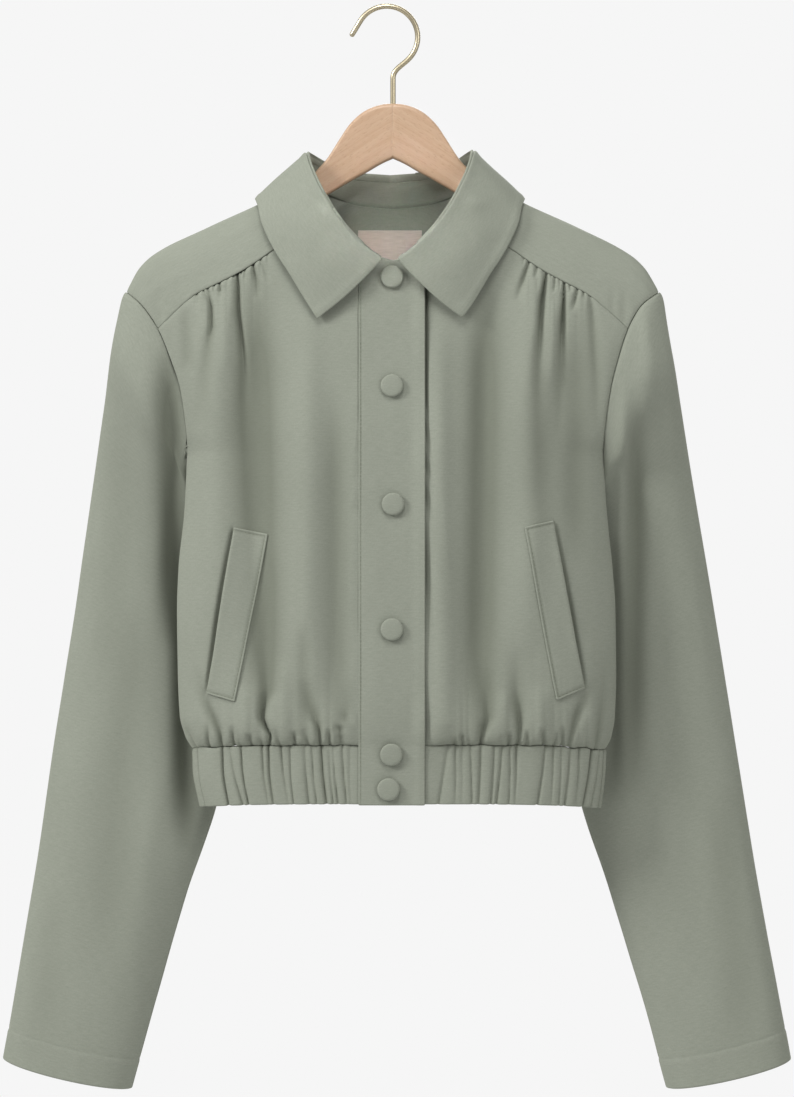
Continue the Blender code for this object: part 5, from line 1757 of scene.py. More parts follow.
    def label(self) -> bpy.types.Object:
        """The bare label, caught at its top corners inside the back of the neck.

        Returns:
            The piece.
        """
        form = self.body.form
        (left, right), (top, end) = self.label_reach, self.label_drop
        x = left + spaced(right - left, 0.9, (0.3, 0.7)) * (right - left)
        drop = top + spaced(end - top, 0.9, (0.3, 0.7))[:, None] * (end - top)
        x, drop = np.broadcast_arrays(x, drop)
        rise = np.sqrt(drop - form.shoulder.at(np.abs(x), "drop"))
        normal = -form.over_normal(x, rise)
        loose = smooth_step(drop, top, top + 10)
        height = 1.1 + 0.3 + self.label_wall + loose * (0.5 + 0.45 * np.sin((x + 4) / 8.5))
        height = height + 1.3 * bell(x - 8 - 0.25 * (drop - 177), 1.5) * loose
        points = form.over(x, rise) + normal * height[..., None]
        sheet = Sheet(points, np.stack([x, -drop], axis=-1), np.zeros(x.shape), normal)
        return shell("jacket_neck_label", sheet, self.label_wall)

    def button(self, number: int, reach: float, drop: float) -> bpy.types.Object:
        """A cloth-covered button: a domed shell with its cloth drawn under the rim.

        Args:
            number: 1 at the top.
            reach: the centre's signed reach.
            drop: the centre's drop.

        Returns:
            The piece.
        """
        lift = self.placket_lift + self.placket_wall - 0.35 + self.button_lift
        centre, normal = self.laid(np.array([reach]), np.array([drop]), np.array([lift]))
        axis = normal[0]
        level = unit(np.array([1.0, 0, 0]) - axis * axis[0])
        upright = np.cross(axis, level)
        profile = np.array([
            (0.02, 0.0), (0.5, 0.0), (0.78, 0.02), (0.90, 0.10), (0.965, 0.24), (0.995, 0.40), (1.0, 0.52),
            (0.99, 0.64), (0.962, 0.75), (0.915, 0.835), (0.85, 0.885), (0.76, 0.92), (0.62, 0.955),
            (0.45, 0.98), (0.28, 0.993), (0.12, 0.999), (0.02, 1.0),
        ]) * (self.button_radius, self.button_rise)
        angles = np.linspace(0, 2 * math.pi, 56, endpoint=False)
        # The gathered cloth makes the rim a little uneven.
        rim = bell(profile[:, 1] / self.button_rise - 0.45, 0.25)[:, None]
        rings = profile[:, 0][:, None] * (1 + 0.006 * np.cos(angles * 11 + number) * rim)
        around = level * np.cos(angles)[:, None] + upright * np.sin(angles)[:, None]
        points = centre[0] + axis * profile[:, 1][:, None, None] + around[None] * rings[..., None]
        everything = np.concatenate([points.reshape(-1, 3), [centre[0], centre[0] + axis * self.button_rise]])
        spread = np.stack([np.cos(angles), np.sin(angles)], -1)[None] * rings[..., None]
        flat = np.concatenate([spread.reshape(-1, 2), np.zeros((2, 2))])
        faces = capped_tube(len(profile), len(angles))
        return mesh_from(f"jacket_button_{number}", everything, faces, flat, np.zeros(len(everything)))


# --- Hanger ----------------------------------------------------------------------------------------


@dataclass
class Hanger:
    """The two beech arms, glued at a mitre in the middle, and the wire hook."""

    centre_x: float = 4.0
    end_reach: float = 192.0
    end_round: float = 8.0
    edge_round: float = 3.4
    grain_slope: float = 31.0
    ridge_forward: float = 14.0
    ridge_reach: float = 190.0
    wire: float = 2.0
    plating: float = 0.15
    hook_radius: float = 24.8
    hook_x: float = -1.0
    tip_length: float = 14.0
    stem_top: float = 56.0
    stem_end: float = 100.0
    bore: float = 2.3
    arm: Table = Table(
        "reach top end half_thickness",
        (0, 76.2, 120.3, 7.0),
        (6, 76.5, 122.9, 7.0),
        (12, 77.7, 126, 7.0),
        (18, 79.8, 129.6, 7.1),
        (24, 83.0, 133, 7.2),
        (30, 87.8, 136.2, 7.3),
        (36, 94.4, 139.7, 7.4),
        (43.4, 105.6, 144, 7.6),
        (53.8, 121.6, 150.4, 8.0),
        (62, 130.8, 155.5, 8.0),
        (68, 142, 159, 7.9),
        (74, 150.8, 162.5, 7.8),
        (80, 152.4, 165.5, 8.1),
        (111, 162.8, 182.5, 8.3),
        (150, 181, 201, 8.2),
        (192, 205, 219, 8.0),
    )

    def section(self, half_y: float, half_z: float) -> Array:
        """A rounded rectangle.

        Args:
            half_y: half its depth.
            half_z: half its height.

        Returns:
            Rows of y and z, round it.
        """
        radius = min(self.edge_round, half_y * 0.9, half_z * 0.9)
        half = np.array((half_y - radius, half_z - radius))
        quarters = ((1, 1), (-1, 1), (-1, -1), (1, -1), (1, 1))
        points = []
        for quarter, (corner, following) in enumerate(zip(quarters, quarters[1:])):
            start = quarter * math.pi / 2
            for angle in start + np.linspace(0, math.pi / 2, 7):
                points.append(corner * half + radius * np.array((math.cos(angle), math.sin(angle))))
            turned = start + math.pi / 2
            target = following * half + radius * np.array((math.cos(turned), math.sin(turned)))
            last = points[-1]
            points += [last + (target - last) * share for share in np.linspace(0, 1, 6)[1:-1]]
        return np.array(points)

    def arm_piece(self, flank: Flank) -> bpy.types.Object:
        """One arm, from the mitre out to its rounded end, bored for half the stem.

        Args:
            flank: which arm.

        Returns:
            The piece.
        """
        start = np.array((0, 0.2, 0.45))
        main = np.arange(2.4, self.end_reach - self.end_round, 2.6)
        tip = self.end_reach - self.end_round + self.end_round * np.sin(np.linspace(0, math.pi / 2, 9) * 0.96)
        rings = []
        for reach in np.concatenate([start, main, tip]):
            top, end = float(self.arm.at(reach, "top")), float(self.arm.at(reach, "end"))
            over_end = max((reach - self.end_reach + self.end_round) / self.end_round, 0.0)
            size = math.sqrt(1 - over_end**2)
            ease = 0.16 * max(0.0, 1 - reach / 0.4)
            half_y = float(self.arm.at(reach, "half_thickness")) * size - ease
            section = self.section(half_y, (end - top) / 2 * size - ease)
            ridge = -self.ridge_forward * (reach / self.ridge_reach) ** 2
            centre = np.array([self.centre_x + flank * reach, ridge, -(top + end) / 2])
            rings.append(centre + np.column_stack([0 * section[:, 0], section]))
        points = np.concatenate([*rings, [rings[0].mean(axis=0), rings[-1].mean(axis=0)]])
        # The grain runs straight down the arm, and on over its rounded edges.
        slope = math.radians(self.grain_slope)
        out, down = flank * (points[:, 0] - self.centre_x), -points[:, 2]
        along = out * math.cos(slope) + down * math.sin(slope)
        flat = np.column_stack([along, down * math.cos(slope) - out * math.sin(slope) + points[:, 1]])
        faces = capped_tube(len(rings), len(rings[0]))
        if flank == Flank.LEFT:
            faces = faces[:, ::-1]
        piece = mesh_from(f"hanger_arm_beech_{flank.word}", points, faces, flat, np.zeros(len(points)))
        self.bored(piece)
        return piece

    def bored(self, piece: bpy.types.Object) -> None:
        """Bores an arm for its half of the hook's stem.

        Args:
            piece: the arm.
        """
        bpy.ops.mesh.primitive_cylinder_add(
            vertices=32,
            radius=self.bore * MM,
            depth=(self.stem_end + 0.6 - self.stem_top) * MM,
            location=(self.centre_x * MM, 0, -(self.stem_end + 0.6 + self.stem_top) / 2 * MM),
        )
        drill = bpy.context.object
        cut = piece.modifiers.new("bore", "BOOLEAN")
        cut.operation = "DIFFERENCE"
        cut.object = drill
        flatten(piece)
        bpy.data.objects.remove(drill, do_unlink=True)
        piece.data.set_sharp_from_angle(angle=math.radians(50))

    def wire_path(self) -> Array:
        """The wire's centre line, from its tip round over the rail and down into the arms.

        Returns:
            Its points.
        """
        centre = np.array([self.hook_x, self.wire - self.hook_radius])
        angles = np.radians(np.linspace(150, -34, 74))
        path = [centre + self.hook_radius * np.array([math.cos(angle), math.sin(angle)]) for angle in angles]
        onwards = unit(path[0] - path[1])
        path = [path[0] + onwards * away for away in np.linspace(self.tip_length, 0, 9)[:-1]] + path
        start, stem = path[-1], np.array([self.centre_x, -self.stem_top])
        leaving = 30.0 * np.array([math.sin(angles[-1]), -math.cos(angles[-1])])
        arriving = 26.0 * np.array([0, -1])
        path += [eased_between(t, start, stem, leaving, arriving) for t in np.linspace(0, 1, 30)[1:]]
        drops = np.linspace(self.stem_top, self.stem_end, 12)[1:]
        path += [np.array([self.centre_x, -drop]) for drop in drops]
        path = np.array(path)
        return np.column_stack([path[:, 0], 0 * path[:, 0], path[:, 1]])

    def hook(self, finish: bpy.types.Material) -> bpy.types.Object:
        """The wire hook, swept along its path with a rounded tip.

        Args:
            finish: the wire's material.

        Returns:
            The piece.
        """
        path = self.wire_path()
        turned = np.radians((86, 72, 55, 36, 18))
        tip = path[0] + unit(path[0] - path[1]) * (self.wire * (np.sin(turned) - 1))[:, None]
        radii = (self.wire + self.plating) * np.concatenate([np.cos(turned), np.ones(len(path) - 2)])
        guide = polyline("hook path", np.concatenate([tip, path[2:]]), radii)
        swept = SweptWire()
        return grown("hanger_wire_hook", guide, swept.tree(finish), swept.sizes())


def flatten(piece: bpy.types.Object) -> None:
    """Applies an object's modifiers to its mesh.

    Args:
        piece: the object.
    """
    graph = bpy.context.evaluated_depsgraph_get()
    evaluated = piece.evaluated_get(graph)
    mesh = bpy.data.meshes.new_from_object(evaluated, preserve_all_data_layers=True, depsgraph=graph)
    piece.modifiers.clear()
    old = piece.data
    piece.data = mesh
    mesh.name = piece.name
    bpy.data.meshes.remove(old)


# --- Geometry Nodes --------------------------------------------------------------------------------


def add(
    tree: bpy.types.NodeTree,
    kind: str,
    inputs: dict | None = None,
    stops: Sequence[tuple[float, str]] = (),
    **settings: object,
) -> bpy.types.Node:
    """Adds a node with its settings, and sets or links its inputs.

    Args:
        tree: the tree that takes it.
        kind: the node's type.
        inputs: by socket name or number, a value or an output socket to link.
        stops: position and hex colour of each stop, where the node has a colour ramp.
        settings: the node's own settings.

    Returns:
        The node.
    """
    made = tree.nodes.new(kind)
    for name, value in settings.items():
        setattr(made, name, value)
    for name, value in (inputs or {}).items():
        socket = made.inputs[name]
        if isinstance(value, bpy.types.NodeSocket):
            tree.links.new(value, socket)
        else:
            socket.default_value = value
    while stops and len(made.color_ramp.elements) < len(stops):
        made.color_ramp.elements.new(0.5)
    for number, (place, code) in enumerate(stops):
        made.color_ramp.elements[number].position = place
        made.color_ramp.elements[number].color = linear(code)
    return made


def polyline(name: str, points: Array, radii: Array | None = None) -> bpy.types.Object:
    """A curve object of one open line.

    Args:
        name: the object's name.
        points: its points in millimetres.
        radii: the radius at each point in millimetres, where the sweep reads it.

    Returns:
        The object.
    """
    curve = bpy.data.curves.new(name, "CURVE")
    curve.dimensions = "3D"
    line = curve.splines.new("POLY")
    line.points.add(len(points) - 1)
    for spot, point in zip(line.points, points):
        spot.co = (*(point * MM), 1.0)
    if radii is not None:
        for spot, radius in zip(line.points, radii):
            spot.radius = radius * MM
    guide = bpy.data.objects.new(name, curve)
    bpy.context.scene.collection.objects.link(guide)
    return guide


def grown(
    name: str, guide: bpy.types.Object, tree: bpy.types.NodeTree, sizes: dict[str, float]
) -> bpy.types.Object:
    """Runs a Geometry Nodes tree on a guide and keeps the result as a plain mesh.

    Args:
        name: the new object's name.
        guide: the object that the tree reads, which is removed.
        tree: the tree.
        sizes: values of the tree's named inputs.

    Returns:
        The object.
    """
    modifier = guide.modifiers.new("grown", "NODES")
    modifier.node_group = tree
    for item in tree.interface.items_tree:
        if item.in_out == "INPUT" and item.name in sizes:
            modifier[item.identifier] = sizes[item.name]
    guide.update_tag()
    evaluated = guide.evaluated_get(bpy.context.evaluated_depsgraph_get())
    mesh = bpy.data.meshes.new_from_object(evaluated)
    mesh.name = name
    guide.modifiers.remove(modifier)
    bpy.data.objects.remove(guide, do_unlink=True)
    piece = bpy.data.objects.new(name, mesh)
    bpy.context.scene.collection.objects.link(piece)
    return piece


def new_tree(name: str, sizes: dict[str, float]) -> tuple[bpy.types.NodeTree, bpy.types.Node]:
    """A Geometry Nodes tree with a geometry input and output and a named input for each size.

    Args:
        name: the tree's name.
        sizes: the sizes by name; a whole number makes a whole-number input.

    Returns:
        The tree and its input node.
    """
    tree = bpy.data.node_groups.new(name, "GeometryNodeTree")
    for way in ("INPUT", "OUTPUT"):
        tree.interface.new_socket("Geometry", in_out=way, socket_type="NodeSocketGeometry")
    for label, value in sizes.items():
        kind = "NodeSocketInt" if isinstance(value, int) else "NodeSocketFloat"
        tree.interface.new_socket(label, in_out="INPUT", socket_type=kind)
    return tree, tree.nodes.new("NodeGroupInput")


def finished(tree: bpy.types.NodeTree, geometry: bpy.types.NodeSocket, finish: bpy.types.Material) -> None:
    """Ends a tree in real geometry with its material.

    Args:
        tree: the tree.
        geometry: what it has made.
        finish: the material.
    """
    real = add(tree, "GeometryNodeRealizeInstances", {"Geometry": geometry})
    dressed = add(tree, "GeometryNodeSetMaterial", {"Geometry": real.outputs[0], "Material": finish})
    add(tree, "NodeGroupOutput", {"Geometry": dressed.outputs[0]})


@dataclass(frozen=True)
class SweptWire:
    """A round wire swept along a curve, as thick as the curve's radius says."""

    sides: int = 28

    def sizes(self) -> dict[str, int]:
        """The tree's named inputs."""
        return {"Sides": self.sides}

    def tree(self, finish: bpy.types.Material) -> bpy.types.NodeTree:
        """Builds the tree.

        Args:
            finish: the wire's material.

        Returns:
            The tree.
        """
        tree, source = new_tree("swept wire", self.sizes())
        radius = add(tree, "GeometryNodeInputRadius")
        circle = add(tree, "GeometryNodeCurvePrimitiveCircle", {
            "Resolution": source.outputs["Sides"], "Radius": 1.0,
        })
        swept = add(tree, "GeometryNodeCurveToMesh", {
            "Curve": source.outputs["Geometry"], "Profile Curve": circle.outputs["Curve"],
            "Scale": radius.outputs[0], "Fill Caps": True,
        })
        smooth = add(tree, "GeometryNodeSetShadeSmooth", {"Geometry": swept.outputs[0], "Shade Smooth": True})
        finished(tree, smooth.outputs[0], finish)
        return tree


@dataclass(frozen=True)
class StitchLine:
    """Lockstitches along curves: short rounded lengths of thread that dip into the cloth at both ends."""

    # The thread is drawn twice as thick as its real 0.25 mm, so that it can show.
    length: float = 2.3
    gap: float = 0.9
    thread: float = 0.5

    def sizes(self) -> dict[str, float]:
        """The tree's named inputs."""
        spacing = self.length + self.gap
        return {"Spacing": spacing * MM, "Length": self.length * MM, "Thread": self.thread * MM}

    def tree(self, finish: bpy.types.Material) -> bpy.types.NodeTree:
        """Builds the tree.

        Args:
            finish: the thread's material.

        Returns:
            The tree.
        """
        tree, source = new_tree("stitch line", self.sizes())
        sizes = source.outputs
        inputs = {"Curve": sizes["Geometry"], "Length": sizes["Spacing"]}
        spots = add(tree, "GeometryNodeCurveToPoints", inputs, mode="LENGTH")
        stitch = add(tree, "GeometryNodeMeshUVSphere", {"Segments": 6, "Rings": 5, "Radius": 0.5})
        inputs = {"X": sizes["Thread"], "Y": sizes["Thread"], "Z": sizes["Length"]}
        size = add(tree, "ShaderNodeCombineXYZ", inputs)
        inputs = {"Geometry": stitch.outputs["Mesh"], "Scale": size.outputs[0]}
        thin = add(tree, "GeometryNodeTransform", inputs)
        smooth = add(tree, "GeometryNodeSetShadeSmooth", {"Geometry": thin.outputs[0], "Shade Smooth": True})
        turn = add(tree, "FunctionNodeAlignRotationToVector", {"Vector": spots.outputs["Tangent"]}, axis="Z")
        placed = add(tree, "GeometryNodeInstanceOnPoints", {
            "Points": spots.outputs["Points"], "Instance": smooth.outputs[0], "Rotation": turn.outputs[0],
        })
        finished(tree, placed.outputs[0], finish)
        return tree


# --- Finishes --------------------------------------------------------------------------------------


def linear(code: str) -> tuple[float, float, float, float]:
    """Turns an sRGB hex colour to a linear one.

    Args:
        code: the colour's six hex digits.

    Returns:
        Red, green, blue and an alpha of 1.
    """
    parts = [int(code[k : k + 2], 16) / 255 for k in (0, 2, 4)]
    red, green, blue = (c / 12.92 if c <= 0.04045 else ((c + 0.055) / 1.055) ** 2.4 for c in parts)
    return red, green, blue, 1.0


@dataclass(frozen=True)
class Finish:
    """What every finish has: its name, its light and dark tones, and its mean roughness."""

    name: str
    light: str
    dark: str
    roughness: float

    def started(
        self, fixed: dict[str, object]
    ) -> tuple[bpy.types.Material, bpy.types.NodeTree, bpy.types.Node]:
        """Starts the material.

        Args:
            fixed: values of the shader's inputs that are the same all over.

        Returns:
            The material, its tree and its shader.
        """
        material = bpy.data.materials.new(self.name)
        material.use_nodes = True
        shader = material.node_tree.nodes["Principled BSDF"]
        for name, value in fixed.items():
            shader.inputs[name].default_value = value
        return material, material.node_tree, shader

    def vary(
        self, tree: bpy.types.NodeTree, shader: bpy.types.Node, pattern: bpy.types.NodeSocket, less: float,
        more: float, colour: bpy.types.NodeSocket | None = None,
    ) -> None:
        """Lets a pattern vary the roughness, and the colour too, from dark to light, unless one is given.

        Args:
            tree: the material's tree.
            shader: its shader.
            pattern: the pattern's values.
            less: how far the roughness falls below its mean.
            more: how far it rises above it.
            colour: a colour that is made already.
        """
        if colour is None:
            stops = ((0.3, self.dark), (0.7, self.light))
            colour = add(tree, "ShaderNodeValToRGB", {"Fac": pattern}, stops).outputs["Color"]
        tree.links.new(colour, shader.inputs["Base Color"])
        rough = add(tree, "ShaderNodeMapRange", {
            "Value": pattern, "To Min": self.roughness - less, "To Max": self.roughness + more,
        })
        tree.links.new(rough.outputs["Result"], shader.inputs["Roughness"])


def flat_coordinates(
    tree: bpy.types.NodeTree, width: float, length: float, turn: float = 0.0
) -> bpy.types.NodeSocket:
    """The cloth's flat coordinates, scaled so that one unit is a pattern of a width and length.

    Args:
        tree: the material's tree.
        width: the pattern's width in millimetres.
        length: its length in millimetres.
        turn: how far it is turned, in degrees.

    Returns:
        The coordinates.
    """
    flat = add(tree, "ShaderNodeUVMap", uv_map="flat")
    inputs = {"Vector": flat.outputs["UV"], "Rotation": (0, 0, math.radians(turn))}
    turned = add(tree, "ShaderNodeMapping", inputs)
    inputs = {"Vector": turned.outputs["Vector"], "Scale": (1 / (width * MM), 1 / (length * MM), 1)}
    return add(tree, "ShaderNodeMapping", inputs).outputs["Vector"]


@dataclass(frozen=True)
class CrepeTwill(Finish):
    """Sage crepe twill, matt with a soft bloom, from dull crepe yarns in a fine diagonal weave."""

    name: str = "sage crepe twill"
    light: str = "8a8e82"
    dark: str = "787c70"
    roughness: float = 0.84
    # The colour of the painted shade in creases, seams and stitch grooves.
    shade: str = "565a4d"
    bloom: str = "c9ccbd"
    rib: float = 1.7
    slub: tuple[float, float] = (7.0, 1.3)
    grit: float = 1.2
    cloud: tuple[float, float] = (70, 90)

    def material(self) -> bpy.types.Material:
        """Builds the material.

        Returns:
            The material.
        """
        material, tree, shader = self.started({
            "Specular IOR Level": 0.22, "Sheen Weight": 0.26, "Sheen Roughness": 0.55,
            "Sheen Tint": linear(self.bloom),
        })
        # Uneven crepe yarns: short streaks across the cloth and a fine grit between them.
        slub = add(tree, "ShaderNodeTexNoise", {
            "Vector": flat_coordinates(tree, *self.slub), "Scale": 1.0, "Detail": 3.0, "Roughness": 0.6,
        })
        grit = add(tree, "ShaderNodeTexNoise", {
            "Vector": flat_coordinates(tree, self.grit, self.grit), "Scale": 1.0, "Detail": 2.0,
            "Roughness": 0.7,
        })
        # The twill line, one every 3.3 mm: thirteen times coarser than its real 0.25 mm, so that it can
        # show at all.
        rib = add(tree, "ShaderNodeTexWave", {
            "Vector": flat_coordinates(tree, self.rib, self.rib, 45), "Scale": 0.16, "Distortion": 1.2,
            "Detail": 2.0,
        })
        # Cloudy patches where the dye and the pressing took unevenly.
        cloud = add(tree, "ShaderNodeTexNoise", {
            "Vector": flat_coordinates(tree, *self.cloud), "Scale": 1.0, "Detail": 2.0,
        })
        yarns = add(tree, "ShaderNodeMath", {0: slub.outputs["Fac"], 1: grit.outputs["Fac"]}, operation="ADD")
        inputs = {0: rib.outputs["Fac"], 1: 0.05, 2: yarns.outputs[0]}
        weave = add(tree, "ShaderNodeMath", inputs, operation="MULTIPLY_ADD")
        inputs = {0: cloud.outputs["Fac"], 1: 0.5, 2: weave.outputs[0]}
        tone = add(tree, "ShaderNodeMath", inputs, operation="MULTIPLY_ADD")
        spread = add(tree, "ShaderNodeMapRange", {
            "Value": tone.outputs[0], "From Min": 0.75, "From Max": 1.75, "To Min": 0.0, "To Max": 1.0,
        })
        stops = ((0.0, self.dark), (1.0, self.light))
        cloth = add(tree, "ShaderNodeValToRGB", {"Fac": spread.outputs["Result"]}, stops)
        # Painted shade: creases keep less light between their sides, so where the crease attribute rises the
        # colour is mixed towards the painted shade colour.
        crease = add(tree, "ShaderNodeAttribute", attribute_name="crease")
        inputs = {0: crease.outputs["Fac"], 1: 0.55}
        depth = add(tree, "ShaderNodeMath", inputs, operation="MULTIPLY", use_clamp=True)
        inputs = {"Factor": depth.outputs[0], 6: cloth.outputs["Color"], 7: linear(self.shade)}
        colour = add(tree, "ShaderNodeMix", inputs, data_type="RGBA")
        self.vary(tree, shader, grit.outputs["Fac"], 0.05, 0.05, colour.outputs[2])
        inputs = {"Height": weave.outputs[0], "Strength": 0.16, "Distance": 0.08 * MM}
        bump = add(tree, "ShaderNodeBump", inputs)
        tree.links.new(bump.outputs["Normal"], shader.inputs["Normal"])
        return material


@dataclass(frozen=True)
class WovenLabel(Finish):
    """Blank woven taffeta label, pinkish beige, with the slight shine of its polyester filling."""

    name: str = "blank woven taffeta label"
    light: str = "cbbfb4"
    dark: str = "baaea2"
    roughness: float = 0.62
    picks: tuple[float, float] = (9.0, 0.9)

    def material(self) -> bpy.types.Material:
        """Builds the material.

        Returns:
            The material.
        """
        material, tree, shader = self.started({"Sheen Weight": 0.15, "Specular IOR Level": 0.3})
        # The filling's picks lie across the label, as fine level lines.
        picks = add(tree, "ShaderNodeTexNoise", {
            "Vector": flat_coordinates(tree, *self.picks), "Scale": 1.0, "Detail": 3.0,
        })
        self.vary(tree, shader, picks.outputs["Fac"], 0.06, 0.06)
        inputs = {"Height": picks.outputs["Fac"], "Strength": 0.3, "Distance": 0.1 * MM}
        bump = add(tree, "ShaderNodeBump", inputs)
        tree.links.new(bump.outputs["Normal"], shader.inputs["Normal"])
        return material


@dataclass(frozen=True)
class LacqueredBeech(Finish):
    """Planed beech under clear satin lacquer: pale pinkish tan with fine grain and short ray flecks."""

    name: str = "clear lacquered beech"
    light: str = "b79c81"
    dark: str = "a78769"
    roughness: float = 0.46
    middle: str = "b19378"
    fleck: str = "947457"
    grain: tuple[float, float] = (90.0, 3.0)
    rays: tuple[float, float] = (4.6, 0.8)

    def material(self) -> bpy.types.Material:
        """Builds the material.

        Returns:
            The material.
        """
        material, tree, shader = self.started({"Coat Weight": 0.25, "Coat Roughness": 0.3})
        # Growth rings cut lengthways: long soft bands, bent a little.
        grain = add(tree, "ShaderNodeTexNoise", {
            "Vector": flat_coordinates(tree, *self.grain), "Scale": 1.0, "Detail": 5.0, "Roughness": 0.6,
            "Distortion": 0.4,
        })
        stops = ((0.25, self.dark), (0.5, self.middle), (0.75, self.light))
        wood = add(tree, "ShaderNodeValToRGB", {"Fac": grain.outputs["Fac"]}, stops)
        # Ray flecks: short dark dashes along the arm, which mark beech from other pale woods.
        rays = add(tree, "ShaderNodeTexNoise", {
            "Vector": flat_coordinates(tree, *self.rays), "Scale": 1.0, "Detail": 1.0,
        })
        flecks = add(tree, "ShaderNodeMapRange", {
            "Value": rays.outputs["Fac"], "From Min": 0.60, "From Max": 0.70, "To Min": 0.0, "To Max": 0.55,
        })
        inputs = {"Factor": flecks.outputs["Result"], 6: wood.outputs["Color"], 7: linear(self.fleck)}
        colour = add(tree, "ShaderNodeMix", inputs, data_type="RGBA")
        self.vary(tree, shader, grain.outputs["Fac"], 0.06, 0.08, colour.outputs[2])
        inputs = {"Height": rays.outputs["Fac"], "Strength": 0.12, "Distance": 0.1 * MM}
        bump = add(tree, "ShaderNodeBump", inputs)
        tree.links.new(bump.outputs["Normal"], shader.inputs["Normal"])
        return material


@dataclass(frozen=True)
class PlatedWire(Finish):
    """Steel wire plated in champagne brass and lacquered: a warm soft gleam with faint clouds."""

    name: str = "champagne brass plated wire"
    light: str = "c6bca3"
    dark: str = "bcb092"
    roughness: float = 0.34
    clouds: float = 60.0

    def material(self) -> bpy.types.Material:
        """Builds the material.

        Returns:
            The material.
        """
        material, tree, shader = self.started({"Metallic": 1.0})
        # Slight clouds in the plating, which also dull it a little.
        place = add(tree, "ShaderNodeTexCoord").outputs["Object"]
        inputs = {"Vector": place, "Scale": 1 / (self.clouds * MM), "Detail": 4.0}
        clouds = add(tree, "ShaderNodeTexNoise", inputs)
        self.vary(tree, shader, clouds.outputs["Fac"], 0.03, 0.04)
        return material


@dataclass(frozen=True)
class SewingThread(Finish):
    """Spun polyester thread a shade darker than the cloth, so that a seam reads as a row of dashes."""

    name: str = "sage spun thread"
    light: str = "767b6b"
    dark: str = "666b5c"
    roughness: float = 0.7
    ply: float = 0.6

    def material(self) -> bpy.types.Material:
        """Builds the material.

        Returns:
            The material.
        """
        material, tree, shader = self.started({"Specular IOR Level": 0.3})
        # The plies' twist, as light and dark along each stitch.
        place = add(tree, "ShaderNodeTexCoord").outputs["Object"]
        inputs = {"Vector": place, "Scale": 1 / (self.ply * MM), "Detail": 2.0}
        plies = add(tree, "ShaderNodeTexNoise", inputs)
        self.vary(tree, shader, plies.outputs["Fac"], 0.1, 0.1)
        return material


@dataclass(frozen=True)
class StudioPaper(Finish):
    """Matt pale grey backdrop paper, faintly mottled, with no gleam of its own."""

    name: str = "matt pale grey studio paper"
    light: str = "d6d6d6"
    dark: str = "d0d0d0"
    roughness: float = 0.95
    mottle: float = 25.0

    def material(self) -> bpy.types.Material:
        """Builds the material.

        Returns:
            The material.
        """
        material, tree, shader = self.started({"Roughness": self.roughness, "Specular IOR Level": 0.1})
        place = add(tree, "ShaderNodeTexCoord").outputs["Object"]
        inputs = {"Vector": place, "Scale": 1 / (self.mottle * MM), "Detail": 3.0}
        mottle = add(tree, "ShaderNodeTexNoise", inputs)
        stops = ((0.3, self.dark), (0.7, self.light))
        colour = add(tree, "ShaderNodeValToRGB", {"Fac": mottle.outputs["Fac"]}, stops)
        tree.links.new(colour.outputs["Color"], shader.inputs["Base Color"])
        return material


# --- Stage -----------------------------------------------------------------------------------------


@dataclass(frozen=True)
class Softbox:
    """An area light that faces the jacket."""

    name: str
    place: tuple[float, float, float]
    size: float
    power: float
    target: tuple[float, float, float] = (0.0, 0.0, -0.42)
    spread: float = 180.0

    def make(self) -> None:
        """Adds the light."""
        light = bpy.data.lights.new(self.name, "AREA")
        light.shape = "DISK"
        light.size = self.size
        light.energy = self.power
        light.spread = math.radians(self.spread)
        made = bpy.data.objects.new(self.name, light)
        made.location = self.place
        away = Vector(self.place) - Vector(self.target)
        made.rotation_euler = away.to_track_quat("Z", "Y").to_euler()
        bpy.context.scene.collection.objects.link(made)


